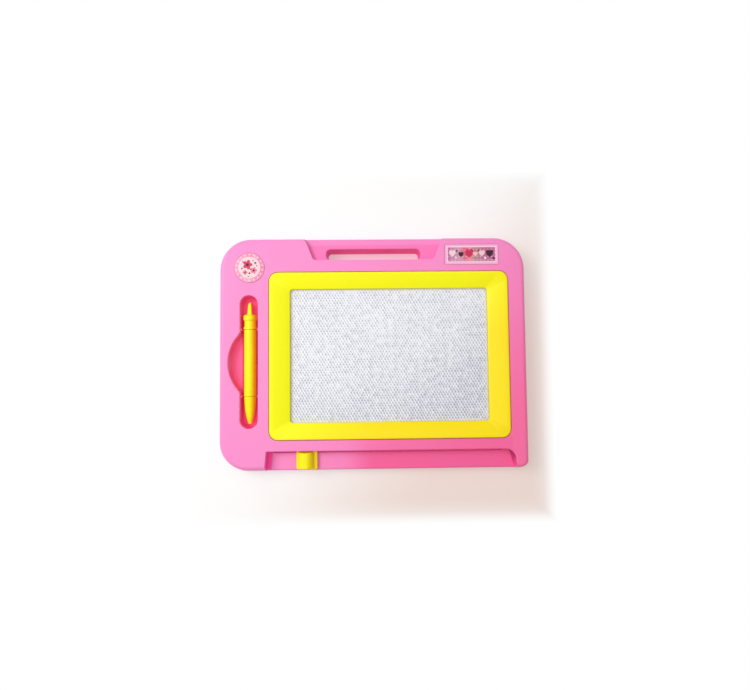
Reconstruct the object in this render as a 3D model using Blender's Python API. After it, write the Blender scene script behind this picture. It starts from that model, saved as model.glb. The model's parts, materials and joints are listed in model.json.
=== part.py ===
"""Magnetic drawing board: a pink two-shell case with a yellow bezel round a honeycomb screen,
an eraser that slides behind the screen, and a pen that lies in its own well.

The board lies on its back. X runs along its length, Y from the eraser channel to the handle,
and Z out of the screen. The origin is on the ground under the middle of the board.
"""

import math

import bmesh
import bpy

MM = 0.001

# Fits and shared wall sizes
SEAT_GAP = 0.3 * MM
RUNNING_GAP = 0.5 * MM
OVERRUN = 5 * MM
WALL = 2.2 * MM
POCKET_WALL = 1.8 * MM
RIB = 1.2 * MM
MIN_ROUND = 0.2 * MM

# Board outline and heights
BOARD_LENGTH = 280 * MM
BOARD_WIDTH = 210 * MM
TOP_Z = 21 * MM
BACK_CORNER = 30 * MM
FRONT_LEFT_CORNER = 27 * MM
FRONT_RIGHT_CORNER = 8 * MM
EDGE_ROUND = 4 * MM
FLANK_LEAN = 2.1 * MM
BACK_FLANK_LEAN = 0.6 * MM
FOOT_HEIGHT = 0.8 * MM
FOOT_RADIUS = 7 * MM
FOOT_INSET = 24 * MM
SKIRT_CLEARANCE = 0.5 * MM
COVER_THICKNESS = 1.8 * MM

# Handle: a grip stepped down from the top face, with a slot right through the board
HANDLE_X = 0.8 * MM
HANDLE_STEP = 4.5 * MM
HANDLE_BACK_LENGTH = 125 * MM
HANDLE_FRONT_LENGTH = 109 * MM
HANDLE_REACH = 20.3 * MM
HANDLE_CORNER = 3 * MM
HANDLE_EDGE_ROUND = 2.5 * MM
SLOT_LENGTH = 85.8 * MM
SLOT_WIDTH = 9.7 * MM
SLOT_BAR = 9.9 * MM
SLOT_CORNER = 4 * MM
SLOT_DRAFT = 0.9 * MM
LIP_ROUND = 1 * MM

# Screen bezel: a sloped frame, set in a pocket of the housing
BEZEL_LEFT_MARGIN = 46.4 * MM
BEZEL_RIGHT_MARGIN = 17.9 * MM
BEZEL_FRONT_MARGIN = 28.4 * MM
BEZEL_BACK_MARGIN = 31.4 * MM
BEZEL_CORNER = 8 * MM
BEZEL_SIDE_BAND = 18.1 * MM
BEZEL_END_BAND = 14.7 * MM
BEZEL_WALL = 1.8 * MM
BEZEL_PROUD = 1 * MM
BEZEL_ROUND = 1.5 * MM
BEZEL_CREST = 3.5 * MM
BEZEL_POCKET_GAP = 0.4 * MM
BEZEL_LIP = 1.5 * MM
BEZEL_LIP_ROUND = 0.8 * MM
WINDOW_CORNER = 3 * MM
TAB_LENGTH = 8 * MM
TAB_THICKNESS = 1.4 * MM
TAB_HOOK = 1 * MM
TAB_TAIL = 2 * MM
TAB_SHARES = (0.16, 0.5, 0.84)

# Screen panel, held under the bezel's lip
LEDGE_UNDERSIDE_Z = 11.4 * MM
LEDGE_THICKNESS = 1.5 * MM
LEDGE_REACH = 10 * MM
PANEL_INSET = 13 * MM
PANEL_LIFT = 0.2 * MM
FILM = 0.4 * MM
CORE = 1.6 * MM
SEAL_WIDTH = 2 * MM
TAPE = 0.3 * MM
TAPE_WIDTH = 4 * MM

# Eraser channel and the slot in its floor
CHANNEL_LEFT_MARGIN = 43.9 * MM
CHANNEL_RIGHT_MARGIN = 13.4 * MM
CHANNEL_WIDTH = 18.5 * MM
CHANNEL_DEPTH = 10.5 * MM
CHANNEL_BACK_CORNER = 9.5 * MM
CHANNEL_END_LEAN = 1.8 * MM
CHANNEL_FLOOR = 1.8 * MM
CHANNEL_EDGE_ROUND = 2 * MM

# Eraser knob
KNOB_LENGTH = 18.8 * MM
KNOB_FRONT_MARGIN = 1.5 * MM
KNOB_BASE = 3.4 * MM
KNOB_CORNER = 1.5 * MM
KNOB_GRIP_LENGTH = 14 * MM
KNOB_GRIP_HEIGHT = 7 * MM
KNOB_GRIP_INSET = 0.8 * MM
KNOB_GRIP_OFFSET = 0.9 * MM
KNOB_GRIP_TOP_SHARE = 0.985
KNOB_REST = 35.2 * MM
KNOB_END_GAP = 0.6 * MM

# Eraser carrier, its tongue, magnet and pads
TONGUE_LENGTH = 10 * MM
TONGUE_THICKNESS = 1.8 * MM
TONGUE_RISE = 2.4 * MM
CARRIER_WIDTH = 13 * MM
CARRIER_FOOT = 2 * MM
ARM_THICKNESS = 3 * MM
ARM_OVERLAP = 1 * MM
TRAY_INSET = 2.5 * MM
TRAY_RIB_PITCH = 18 * MM
TRAY_POCKET_DEPTH = 2.4 * MM
MAGNET_WIDTH = 8 * MM
MAGNET_THICKNESS = 2.1 * MM
MAGNET_PROUD = 0.4 * MM
PAD_LENGTH = 9 * MM
PAD_THICKNESS = 0.8 * MM
PAD_INSET = 1 * MM
RAIL_HEIGHT = 0.6 * MM
RAIL_WIDTH = 6 * MM
FENCE_HEIGHT = 4 * MM

# Pen; the nose shares are (place along the nose, radius over the barrel's radius)
PEN_RADIUS = 5.6 * MM
PEN_BORE = 4.5 * MM
PEN_RING_RADIUS = 6.1 * MM
PEN_NECK_RADIUS = 5.3 * MM
PEN_COLLAR_RADIUS = 6.25 * MM
PEN_NOSE_LENGTH = 24.5 * MM
PEN_NOSE_SHARES = (
    (0, 0.25), (0.02, 0.3), (0.06, 0.36), (0.146, 0.48), (0.23, 0.6), (0.32, 0.7),
    (0.49, 0.82), (0.66, 0.89), (0.84, 0.94), (0.96, 0.98),
)
PEN_BARREL_LENGTH = 60 * MM
PEN_RING_LENGTH = 1.8 * MM
PEN_NECK_LENGTH = 7.1 * MM
PEN_COLLAR_LENGTH = 4.5 * MM
PEN_ROUND = 1.2 * MM
PEN_SMALL_ROUND = 0.5 * MM
PEN_LUG_LENGTH = 11.5 * MM
PEN_LUG_ROOT = 4 * MM
PEN_LUG_TAIL = 2 * MM
PEN_LUG_HEIGHT = 7.5 * MM
PEN_LUG_HOLE = 1.6 * MM
PEN_SPIGOT_RADIUS = 4.1 * MM
PEN_SPIGOT_LENGTH = 9 * MM
PEN_MAGNET_RADIUS = 0.8 * MM
PEN_MAGNET_LENGTH = 12 * MM

# Pen well and finger scoop
WELL_LEFT_MARGIN = 28.5 * MM
WELL_FRONT_MARGIN = 38.9 * MM
WELL_SIDE_ROOM = 1.6 * MM
WELL_TIP_ROOM = 4 * MM
WELL_TAIL_ROOM = 5.7 * MM
WELL_FOOT_ROUND = 2 * MM
NUB_RADIUS = 1.5 * MM
NUB_DROP = 3 * MM
SCOOP_REACH = 10.8 * MM
SCOOP_HALF_CHORD = 26.3 * MM
SCOOP_BLEND = 6 * MM
SCOOP_SHALLOWER = 2.5 * MM
SCOOP_FOOT_ROUND = 3 * MM
PEN_BELOW_TOP = 6.4 * MM

# Badge and picture label
BADGE_RADIUS = 13.4 * MM
BADGE_LEFT_MARGIN = 29 * MM
BADGE_BACK_MARGIN = 27 * MM
BADGE_RECESS = 0.9 * MM
BADGE_THICKNESS = 0.9 * MM
BADGE_DOME = 0.4 * MM
LABEL_LENGTH = 48.6 * MM
LABEL_WIDTH = 18.4 * MM
LABEL_RIGHT_MARGIN = 26 * MM
LABEL_BACK_MARGIN = 7 * MM
LABEL_CORNER = 1 * MM
LABEL_RECESS = 0.6 * MM
LABEL_THICKNESS = 0.4 * MM

# Screws and their bosses
SCREW_HEAD_RADIUS = 2.3 * MM
SCREW_HEAD_HEIGHT = 1.4 * MM
SCREW_HEAD_SHARE = 0.8
SCREW_RADIUS = 1.3 * MM
SCREW_TIP_SHARE = 0.3
SCREW_LENGTH = 6.2 * MM
BOSS_RADIUS = 3.3 * MM
COVER_BOSS_RADIUS = 3.6 * MM
COVER_BOSS_HEIGHT = 2 * MM
FRONT_SCREW_MARGIN = 6.4 * MM
CORNER_SCREW_SIDE = 14 * MM
CORNER_SCREW_END = 21 * MM
RIGHT_SCREW_SIDE = 7 * MM
RIGHT_SCREW_FRONT = 27 * MM
HANDLE_SCREW_OFFSET = 15 * MM
FRONT_SCREW_SHARES = (0.3, 0.7)

# Stiffening ribs
RIB_SHARES = (0.2, 0.4, 0.6, 0.8)

# Facet counts, and the angle between faces above which an edge stays sharp
CORNER_STEPS = 6
BOARD_STEPS = 12
ROUND_STEPS = 3
EDGE_STEPS = 5
TURNED_SIDES = 28
SMALL_SIDES = 16
BADGE_SIDES = 40
HUMP_STEPS = 6
SHARP_ANGLE = math.radians(35)

# Places worked out from the driving sizes
HALF_LENGTH = BOARD_LENGTH / 2
HALF_WIDTH = BOARD_WIDTH / 2
SKIRT_Z = SKIRT_CLEARANCE
COVER_Z = FOOT_HEIGHT
COVER_INSIDE_Z = COVER_Z + COVER_THICKNESS
HANDLE_Z = TOP_Z - HANDLE_STEP
CHANNEL_Z = TOP_Z - CHANNEL_DEPTH
CHANNEL_LOW_X = -HALF_LENGTH + CHANNEL_LEFT_MARGIN
CHANNEL_HIGH_X = HALF_LENGTH - CHANNEL_RIGHT_MARGIN
CHANNEL_BACK_Y = -HALF_WIDTH + CHANNEL_WIDTH
CHANNEL_UNDERSIDE_Z = CHANNEL_Z - CHANNEL_FLOOR
BEZEL_LOW = (-HALF_LENGTH + BEZEL_LEFT_MARGIN, -HALF_WIDTH + BEZEL_FRONT_MARGIN)
BEZEL_HIGH = (HALF_LENGTH - BEZEL_RIGHT_MARGIN, HALF_WIDTH - BEZEL_BACK_MARGIN)
WINDOW_LOW = (BEZEL_LOW[0] + BEZEL_SIDE_BAND, BEZEL_LOW[1] + BEZEL_END_BAND)
WINDOW_HIGH = (BEZEL_HIGH[0] - BEZEL_SIDE_BAND, BEZEL_HIGH[1] - BEZEL_END_BAND)
SEAT_Z = LEDGE_UNDERSIDE_Z + LEDGE_THICKNESS
BACK_FILM_Z = LEDGE_UNDERSIDE_Z + PANEL_LIFT
CORE_Z = BACK_FILM_Z + FILM + SEAT_GAP
FRONT_FILM_Z = CORE_Z + CORE + SEAT_GAP
TAPE_Z = FRONT_FILM_Z + FILM + SEAT_GAP
LIP_Z = TAPE_Z + TAPE + SEAT_GAP
CREST_Z = TOP_Z + BEZEL_PROUD
PEN_AXIS_Z = TOP_Z - PEN_BELOW_TOP
PEN_X = -HALF_LENGTH + WELL_LEFT_MARGIN
WELL_Z = PEN_AXIS_Z - PEN_COLLAR_RADIUS - SEAT_GAP
WELL_HALF = PEN_COLLAR_RADIUS + WELL_SIDE_ROOM
WELL_LOW_Y = -HALF_WIDTH + WELL_FRONT_MARGIN
PEN_TIP_Y = WELL_LOW_Y + WELL_TIP_ROOM
BARREL_LOW_Y = PEN_TIP_Y + PEN_NOSE_LENGTH
BARREL_HIGH_Y = BARREL_LOW_Y + PEN_BARREL_LENGTH
COLLAR_LOW_Y = BARREL_HIGH_Y + PEN_RING_LENGTH + PEN_NECK_LENGTH
COLLAR_HIGH_Y = COLLAR_LOW_Y + PEN_COLLAR_LENGTH
PEN_TAIL_Y = COLLAR_HIGH_Y + PEN_LUG_LENGTH
WELL_HIGH_Y = PEN_TAIL_Y + WELL_TAIL_ROOM
KNOB_X = CHANNEL_LOW_X + KNOB_REST
KNOB_BACK_Y = CHANNEL_BACK_Y - RUNNING_GAP
KNOB_FRONT_Y = -HALF_WIDTH + KNOB_FRONT_MARGIN
KNOB_Z = CHANNEL_Z + SEAT_GAP
KNOB_LOW_LIMIT_X = CHANNEL_LOW_X + KNOB_LENGTH / 2 + KNOB_END_GAP
CORNER_BACKED_OFF = CHANNEL_BACK_CORNER - RUNNING_GAP
CORNER_CLEAR = math.sqrt(CHANNEL_BACK_CORNER ** 2 - CORNER_BACKED_OFF ** 2)
KNOB_HIGH_EDGE_X = CHANNEL_HIGH_X - CHANNEL_BACK_CORNER + CORNER_CLEAR
KNOB_HIGH_LIMIT_X = KNOB_HIGH_EDGE_X - KNOB_LENGTH / 2 - KNOB_END_GAP
TONGUE_Y = KNOB_BACK_Y - TONGUE_THICKNESS / 2
GUIDE_LOW_Y = TONGUE_Y - TONGUE_THICKNESS / 2 - RUNNING_GAP
RAIL_Z = COVER_INSIDE_Z + RAIL_HEIGHT
PAD_Z = RAIL_Z + SEAT_GAP
CARRIER_Z = PAD_Z + PAD_THICKNESS + SEAT_GAP
ARM_TOP_Z = CARRIER_Z + ARM_THICKNESS
MAGNET_TOP_Z = LEDGE_UNDERSIDE_Z - RUNNING_GAP
MAGNET_Z = MAGNET_TOP_Z - MAGNET_THICKNESS
TRAY_TOP_Z = MAGNET_TOP_Z - MAGNET_PROUD
CARRIER_FRONT_Y = TONGUE_Y - TONGUE_THICKNESS / 2 - CARRIER_FOOT
CARRIER_BACK_Y = WINDOW_HIGH[1] + TRAY_INSET
TRAY_FRONT_Y = WINDOW_LOW[1] - TRAY_INSET
FRONT_RAIL_Y = (CHANNEL_BACK_Y + TRAY_FRONT_Y) / 2
BACK_RAIL_Y = CARRIER_BACK_Y - PAD_LENGTH
SLOT_HIGH_Y = HALF_WIDTH - SLOT_BAR
FLANK_TOP_Z = TOP_Z - EDGE_ROUND
HANDLE_ROUND_SHARE = (HANDLE_Z - HANDLE_EDGE_ROUND - CHANNEL_Z) / (FLANK_TOP_Z - CHANNEL_Z)
HANDLE_EDGE_Y = HALF_WIDTH - BACK_FLANK_LEAN * HANDLE_ROUND_SHARE
HANDLE_LOW_X = HANDLE_X - HANDLE_BACK_LENGTH / 2
HANDLE_HIGH_X = HANDLE_X + HANDLE_BACK_LENGTH / 2
CHANNEL_END_SLOPE = CHANNEL_END_LEAN / CHANNEL_WIDTH
CHANNEL_EDGE_LOW_X = CHANNEL_LOW_X - CHANNEL_END_SLOPE * (CHANNEL_WIDTH - CHANNEL_EDGE_ROUND)
SLOT_LOW = (HANDLE_X - SLOT_LENGTH / 2, SLOT_HIGH_Y - SLOT_WIDTH)
SLOT_HIGH = (HANDLE_X + SLOT_LENGTH / 2, SLOT_HIGH_Y)
BADGE_X = -HALF_LENGTH + BADGE_LEFT_MARGIN
BADGE_Y = HALF_WIDTH - BADGE_BACK_MARGIN
LABEL_HIGH = (HALF_LENGTH - LABEL_RIGHT_MARGIN, HALF_WIDTH - LABEL_BACK_MARGIN)
LABEL_LOW = (LABEL_HIGH[0] - LABEL_LENGTH, LABEL_HIGH[1] - LABEL_WIDTH)
SCREW_HEAD_Z = COVER_Z + SEAT_GAP
SCREW_SEAT_Z = SCREW_HEAD_Z + SCREW_HEAD_HEIGHT + SEAT_GAP
COVER_BOSS_Z = COVER_INSIDE_Z + COVER_BOSS_HEIGHT
BOSS_Z = COVER_BOSS_Z + SEAT_GAP
SCREW_TIP_Z = SCREW_HEAD_Z + SCREW_HEAD_HEIGHT + SCREW_LENGTH


def clear_scene():
    """Remove every object that the scene holds."""
    for old in list(bpy.data.objects):
        bpy.data.objects.remove(old, do_unlink=True)


def material(name, colour, roughness, metallic=0.0):
    """Principled material with one colour."""
    made = bpy.data.materials.new(name)
    made.use_nodes = True
    shader = made.node_tree.nodes["Principled BSDF"]
    shader.inputs["Base Color"].default_value = (*colour, 1.0)
    shader.inputs["Roughness"].default_value = roughness
    shader.inputs["Metallic"].default_value = metallic
    return made


def skin(name, rings, finish=None, closed=False):
    """Solid through rings of points; it is capped at both ends, or joined end to end if closed."""
    work = bmesh.new()
    loops = [[work.verts.new(point) for point in ring] for ring in rings]
    pairs = list(zip(loops, loops[1:]))
    if closed:
        pairs.append((loops[-1], loops[0]))
    for lower, upper in pairs:
        for index in range(len(lower)):
            after = (index + 1) % len(lower)
            work.faces.new((lower[index], lower[after], upper[after], upper[index]))
    if not closed:
        work.faces.new(list(reversed(loops[0])))
        work.faces.new(loops[-1])
    mesh = bpy.data.meshes.new(name)
    work.to_mesh(mesh)
    work.free()
    mesh.shade_smooth()
    mesh.set_sharp_from_angle(angle=SHARP_ANGLE)
    if finish:
        mesh.materials.append(finish)
    made = bpy.data.objects.new(name, mesh)
    bpy.context.scene.collection.objects.link(made)
    return made


def loft(name, levels, finish=None, closed=False):
    """Solid through flat outlines, each given with its height."""
    rings = [[(x, y, z) for x, y in outline] for outline, z in levels]
    return skin(name, rings, finish, closed)


def prism(name, outline, low_z, high_z, finish=None):
    """Straight solid over one outline."""
    return loft(name, [(outline, low_z), (outline, high_z)], finish)


def block(name, low, high, finish=None):
    """Box from its lowest to its highest corner."""
    outline = [(low[0], low[1]), (high[0], low[1]), (high[0], high[1]), (low[0], high[1])]
    return prism(name, outline, low[2], high[2], finish)


def turned(name, profile, centre, finish=None):
    """Solid of revolution about Y through centre (x, z); the profile is (y, radius) up the axis."""
    rings = []
    for y, radius in profile:
        ring = []
        for side in range(TURNED_SIDES):
            angle = 2 * math.pi * side / TURNED_SIDES
            ring.append((centre[0] + radius * math.sin(angle), y, centre[1] + radius * math.cos(angle)))
        rings.append(ring)
    return skin(name, rings, finish)


def circle(centre, radius, sides=TURNED_SIDES):
    """Round outline, counter-clockwise."""
    steps = [2 * math.pi * side / sides for side in range(sides)]
    return [(centre[0] + radius * math.cos(a), centre[1] + radius * math.sin(a)) for a in steps]


def arc(centre, radius, start, end, steps):
    """Points along an arc, both ends included."""
    angles = [start + (end - start) * step / steps for step in range(steps + 1)]
    return [(centre[0] + radius * math.cos(a), centre[1] + radius * math.sin(a)) for a in angles]


def rounded_rectangle(low, high, radii, inset=0, steps=CORNER_STEPS):
    """Rectangle with corner radii (front left, front right, back right, back left), moved in by inset."""
    rounds = [max(radius - inset, MIN_ROUND) for radius in radii]
    near = (low[0] + inset, low[1] + inset)
    far = (high[0] - inset, high[1] - inset)
    centres = (
        (near[0] + rounds[0], near[1] + rounds[0]),
        (far[0] - rounds[1], near[1] + rounds[1]),
        (far[0] - rounds[2], far[1] - rounds[2]),
        (near[0] + rounds[3], far[1] - rounds[3]),
    )
    quarter = math.pi / 2
    points = []
    for corner, (centre, radius) in enumerate(zip(centres, rounds)):
        start = math.pi + corner * quarter
        points += arc(centre, radius, start, start + quarter, steps)
    return points


def blended(first, second, share):
    """Outline part of the way from one outline to another."""
    return [(a[0] + (b[0] - a[0]) * share, a[1] + (b[1] - a[1]) * share) for a, b in zip(first, second)]


def quarter_round(radius, steps=ROUND_STEPS):
    """Quarter round as (how far in, how far up) from its start, where it stands upright."""
    angles = [math.pi / 2 * step / steps for step in range(steps + 1)]
    return [(radius * (1 - math.cos(angle)), radius * math.sin(angle)) for angle in angles]


def lip_levels(outline_at, top_z, lip_round):
    """Upper levels of a cutter that rounds the edge where it leaves the face."""
    start_z = top_z - lip_round
    levels = [(outline_at(-out), start_z + up) for out, up in quarter_round(lip_round)]
    return levels + [(outline_at(-lip_round), top_z + OVERRUN)]


def pocket_levels(outline_at, floor_z, top_z, foot_round, lip_round):
    """Levels of a cutter for a pocket with a rounded foot and a rounded lip at the face."""
    foot = quarter_round(foot_round) if foot_round else [(0, 0)]
    levels = [(outline_at(foot_round - up), floor_z + inward) for inward, up in foot]
    return levels + lip_levels(outline_at, top_z, lip_round)


def hide(cutter):
    """Mark a guide or cutter as construction only."""
    cutter.hide_render = True
    cutter.display_type = "WIRE"


def combine(target, other, operation):
    """Add a live Boolean to the target and keep its operand out of sight."""
    step = target.modifiers.new(operation.lower() + "_" + other.name, "BOOLEAN")
    step.operation = operation
    step.solver = "EXACT"
    step.object = other
    hide(other)


def cut(target, *cutters):
    """Take cutters away from the target."""
    for cutter in cutters:
        combine(target, cutter, "DIFFERENCE")


def join(target, *others):
    """Fuse others into the target."""
    for other in others:
        combine(target, other, "UNION")


def board_outline(inset=0, lean=0):
    """Outline of the whole board; the lean is the share of the way up its leaning flanks."""
    side = lean * FLANK_LEAN
    low = (-HALF_LENGTH + side, -HALF_WIDTH + side)
    high = (HALF_LENGTH - side, HALF_WIDTH - lean * BACK_FLANK_LEAN)
    corners = (FRONT_LEFT_CORNER, FRONT_RIGHT_CORNER, BACK_CORNER, BACK_CORNER)
    return rounded_rectangle(low, high, [radius - side for radius in corners], inset, BOARD_STEPS)


def bezel_outline(inset=0):
    """Outer outline of the bezel."""
    return rounded_rectangle(BEZEL_LOW, BEZEL_HIGH, (BEZEL_CORNER,) * 4, inset)


def band_outline(distance):
    """Outline inside the bezel band, at a distance from its outer edge along the wide band."""
    window = rounded_rectangle(WINDOW_LOW, WINDOW_HIGH, (WINDOW_CORNER,) * 4)
    return blended(bezel_outline(), window, distance / BEZEL_SIDE_BAND)


def slot_outline(inset=0):
    """Outline of the finger slot in the handle."""
    return rounded_rectangle(SLOT_LOW, SLOT_HIGH, (SLOT_CORNER,) * 4, inset)


def well_outline(inset=0):
    """Outline of the pen well, with round ends."""
    low = (PEN_X - WELL_HALF, WELL_LOW_Y)
    high = (PEN_X + WELL_HALF, WELL_HIGH_Y)
    return rounded_rectangle(low, high, (WELL_HALF,) * 4, inset)


def channel_outline(inset=0):
    """Outline of the eraser channel, open past the front edge of the board."""
    low = (CHANNEL_LOW_X, -HALF_WIDTH - OVERRUN)
    high = (CHANNEL_HIGH_X, CHANNEL_BACK_Y)
    corners = (MIN_ROUND, MIN_ROUND, CHANNEL_BACK_CORNER, MIN_ROUND)
    points = []
    for x, y in rounded_rectangle(low, high, corners, inset):
        lean = CHANNEL_END_SLOPE * (CHANNEL_BACK_Y - y) if x < KNOB_X else 0
        points.append((x - lean, y))
    return points


def handle_outline(inset=0):
    """Tapered outline of the handle step, open past the back edge of the board."""
    front = HALF_WIDTH - HANDLE_REACH
    back = HALF_WIDTH + OVERRUN
    slope = (HANDLE_BACK_LENGTH - HANDLE_FRONT_LENGTH) / 2 / HANDLE_REACH
    front_half = HANDLE_FRONT_LENGTH / 2 - inset
    back_half = front_half + slope * (back - front)
    turn = math.pi / 2 - math.atan(slope)
    centre = (front_half - HANDLE_CORNER * math.tan(turn / 2), front + inset + HANDLE_CORNER)
    points = arc(centre, HANDLE_CORNER, -math.pi / 2, turn - math.pi / 2, CORNER_STEPS)
    points.append((back_half, back))
    mirrored = [(-x, y) for x, y in reversed(points)]
    return [(HANDLE_X + x, y) for x, y in points + mirrored]


def scoop_outline(inset=0):
    """Outline of the finger scoop: an arc that runs softly into the well's side at both ends."""
    radius = (SCOOP_HALF_CHORD ** 2 + SCOOP_REACH ** 2) / (2 * SCOOP_REACH)
    side_x = PEN_X - WELL_HALF
    centre = (side_x - SCOOP_REACH + radius, (PEN_TIP_Y + PEN_TAIL_Y) / 2)
    blend_x = side_x - SCOOP_BLEND
    blend_rise = math.sqrt((radius + SCOOP_BLEND) ** 2 - (centre[0] - blend_x) ** 2)
    tilt = math.atan2(blend_rise, centre[0] - blend_x)
    top = (blend_x, centre[1] + blend_rise)
    foot = (blend_x, centre[1] - blend_rise)
    points = [(PEN_X, top[1])]
    points += arc(top, SCOOP_BLEND + inset, 0, -tilt, ROUND_STEPS)
    points += arc(centre, radius - inset, math.pi - tilt, math.pi + tilt, 2 * CORNER_STEPS)[1:-1]
    points += arc(foot, SCOOP_BLEND + inset, tilt, 0, ROUND_STEPS)
    points.append((PEN_X, foot[1]))
    return points


def edge_cutter(name, low_x, high_x, edge_y, side, top_z, radius):
    """Cutter that rounds a straight edge along X; side is the way that the edge faces in Y."""
    profile = [(OVERRUN, OVERRUN), (OVERRUN, -radius)]
    profile += [(-inward, up - radius) for inward, up in quarter_round(radius, EDGE_STEPS)]
    profile.append((-radius, OVERRUN))
    if side < 0:
        profile.reverse()
    rings = [[(x, edge_y + side * y, top_z + z) for y, z in profile] for x in (high_x, low_x)]
    return skin(name, rings)


def screw_places():
    """Places of the housing screws, seen from above."""
    places = []
    for share in FRONT_SCREW_SHARES:
        x = CHANNEL_LOW_X + share * (CHANNEL_HIGH_X - CHANNEL_LOW_X)
        places.append((x, -HALF_WIDTH + FRONT_SCREW_MARGIN))
    handle_y = (BEZEL_HIGH[1] + HALF_WIDTH) / 2
    for side in (-1, 1):
        places.append((side * (HANDLE_BACK_LENGTH / 2 + HANDLE_SCREW_OFFSET), handle_y))
        places.append((side * (HALF_LENGTH - CORNER_SCREW_SIDE), HALF_WIDTH - CORNER_SCREW_END))
    places.append((-HALF_LENGTH + CORNER_SCREW_SIDE, -HALF_WIDTH + CORNER_SCREW_END))
    places.append((HALF_LENGTH - RIGHT_SCREW_SIDE, -HALF_WIDTH + RIGHT_SCREW_FRONT))
    return places


def tab_places():
    """Places of the bezel's snap tabs: (x, y, side), where side is the way that the hook points."""
    inset = BEZEL_WALL + TAB_HOOK
    places = []
    for share in TAB_SHARES:
        x = BEZEL_LOW[0] + share * (BEZEL_HIGH[0] - BEZEL_LOW[0])
        places.append((x, BEZEL_LOW[1] + inset, -1))
        places.append((x, BEZEL_HIGH[1] - inset, 1))
    return places


def rib_boxes():
    """Stiffening ribs under the top face, between the bezel pocket and the outer walls."""
    boxes = []
    low_z = LEDGE_UNDERSIDE_Z
    for share in RIB_SHARES:
        y = BEZEL_LOW[1] + share * (BEZEL_HIGH[1] - BEZEL_LOW[1])
        boxes.append(((BEZEL_HIGH[0], y - RIB / 2, low_z), (HALF_LENGTH, y + RIB / 2, TOP_Z)))
        boxes.append(((-HALF_LENGTH, y - RIB / 2, low_z), (PEN_X, y + RIB / 2, TOP_Z)))
    for share in RIB_SHARES:
        x = BEZEL_LOW[0] + share * (BEZEL_HIGH[0] - BEZEL_LOW[0])
        boxes.append(((x - RIB / 2, CHANNEL_BACK_Y, low_z), (x + RIB / 2, BEZEL_LOW[1], TOP_Z)))
    return boxes


def housing_cavity():
    """Inside of the housing: its hollow, less the walls of everything that dips into it."""
    cavity = loft("cavity", [
        (board_outline(WALL), SKIRT_Z - OVERRUN),
        (board_outline(WALL), CHANNEL_Z),
        (board_outline(WALL, 1), FLANK_TOP_Z),
        (board_outline(WALL, 1), TOP_Z - WALL),
    ])
    grown = -POCKET_WALL
    far_z = TOP_Z + OVERRUN
    cut(
        cavity,
        prism("channel_island", channel_outline(grown), CHANNEL_UNDERSIDE_Z, far_z),
        prism("well_island", well_outline(grown), WELL_Z - POCKET_WALL, far_z),
        prism("scoop_island", scoop_outline(grown), WELL_Z + SCOOP_SHALLOWER - POCKET_WALL, far_z),
        prism("handle_island", handle_outline(grown), HANDLE_Z - POCKET_WALL, far_z),
        prism("slot_island", slot_outline(grown), SKIRT_Z - 2 * OVERRUN, far_z),
        prism("bezel_island", bezel_outline(-BEZEL_POCKET_GAP - POCKET_WALL), LEDGE_UNDERSIDE_Z, far_z),
    )
    for index, place in enumerate(screw_places()):
        cut(cavity, prism("boss_island_%d" % index, circle(place, BOSS_RADIUS, SMALL_SIDES), BOSS_Z, far_z))
    for index, (low, high) in enumerate(rib_boxes()):
        cut(cavity, block("rib_island_%d" % index, low, high))
    return cavity


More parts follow.
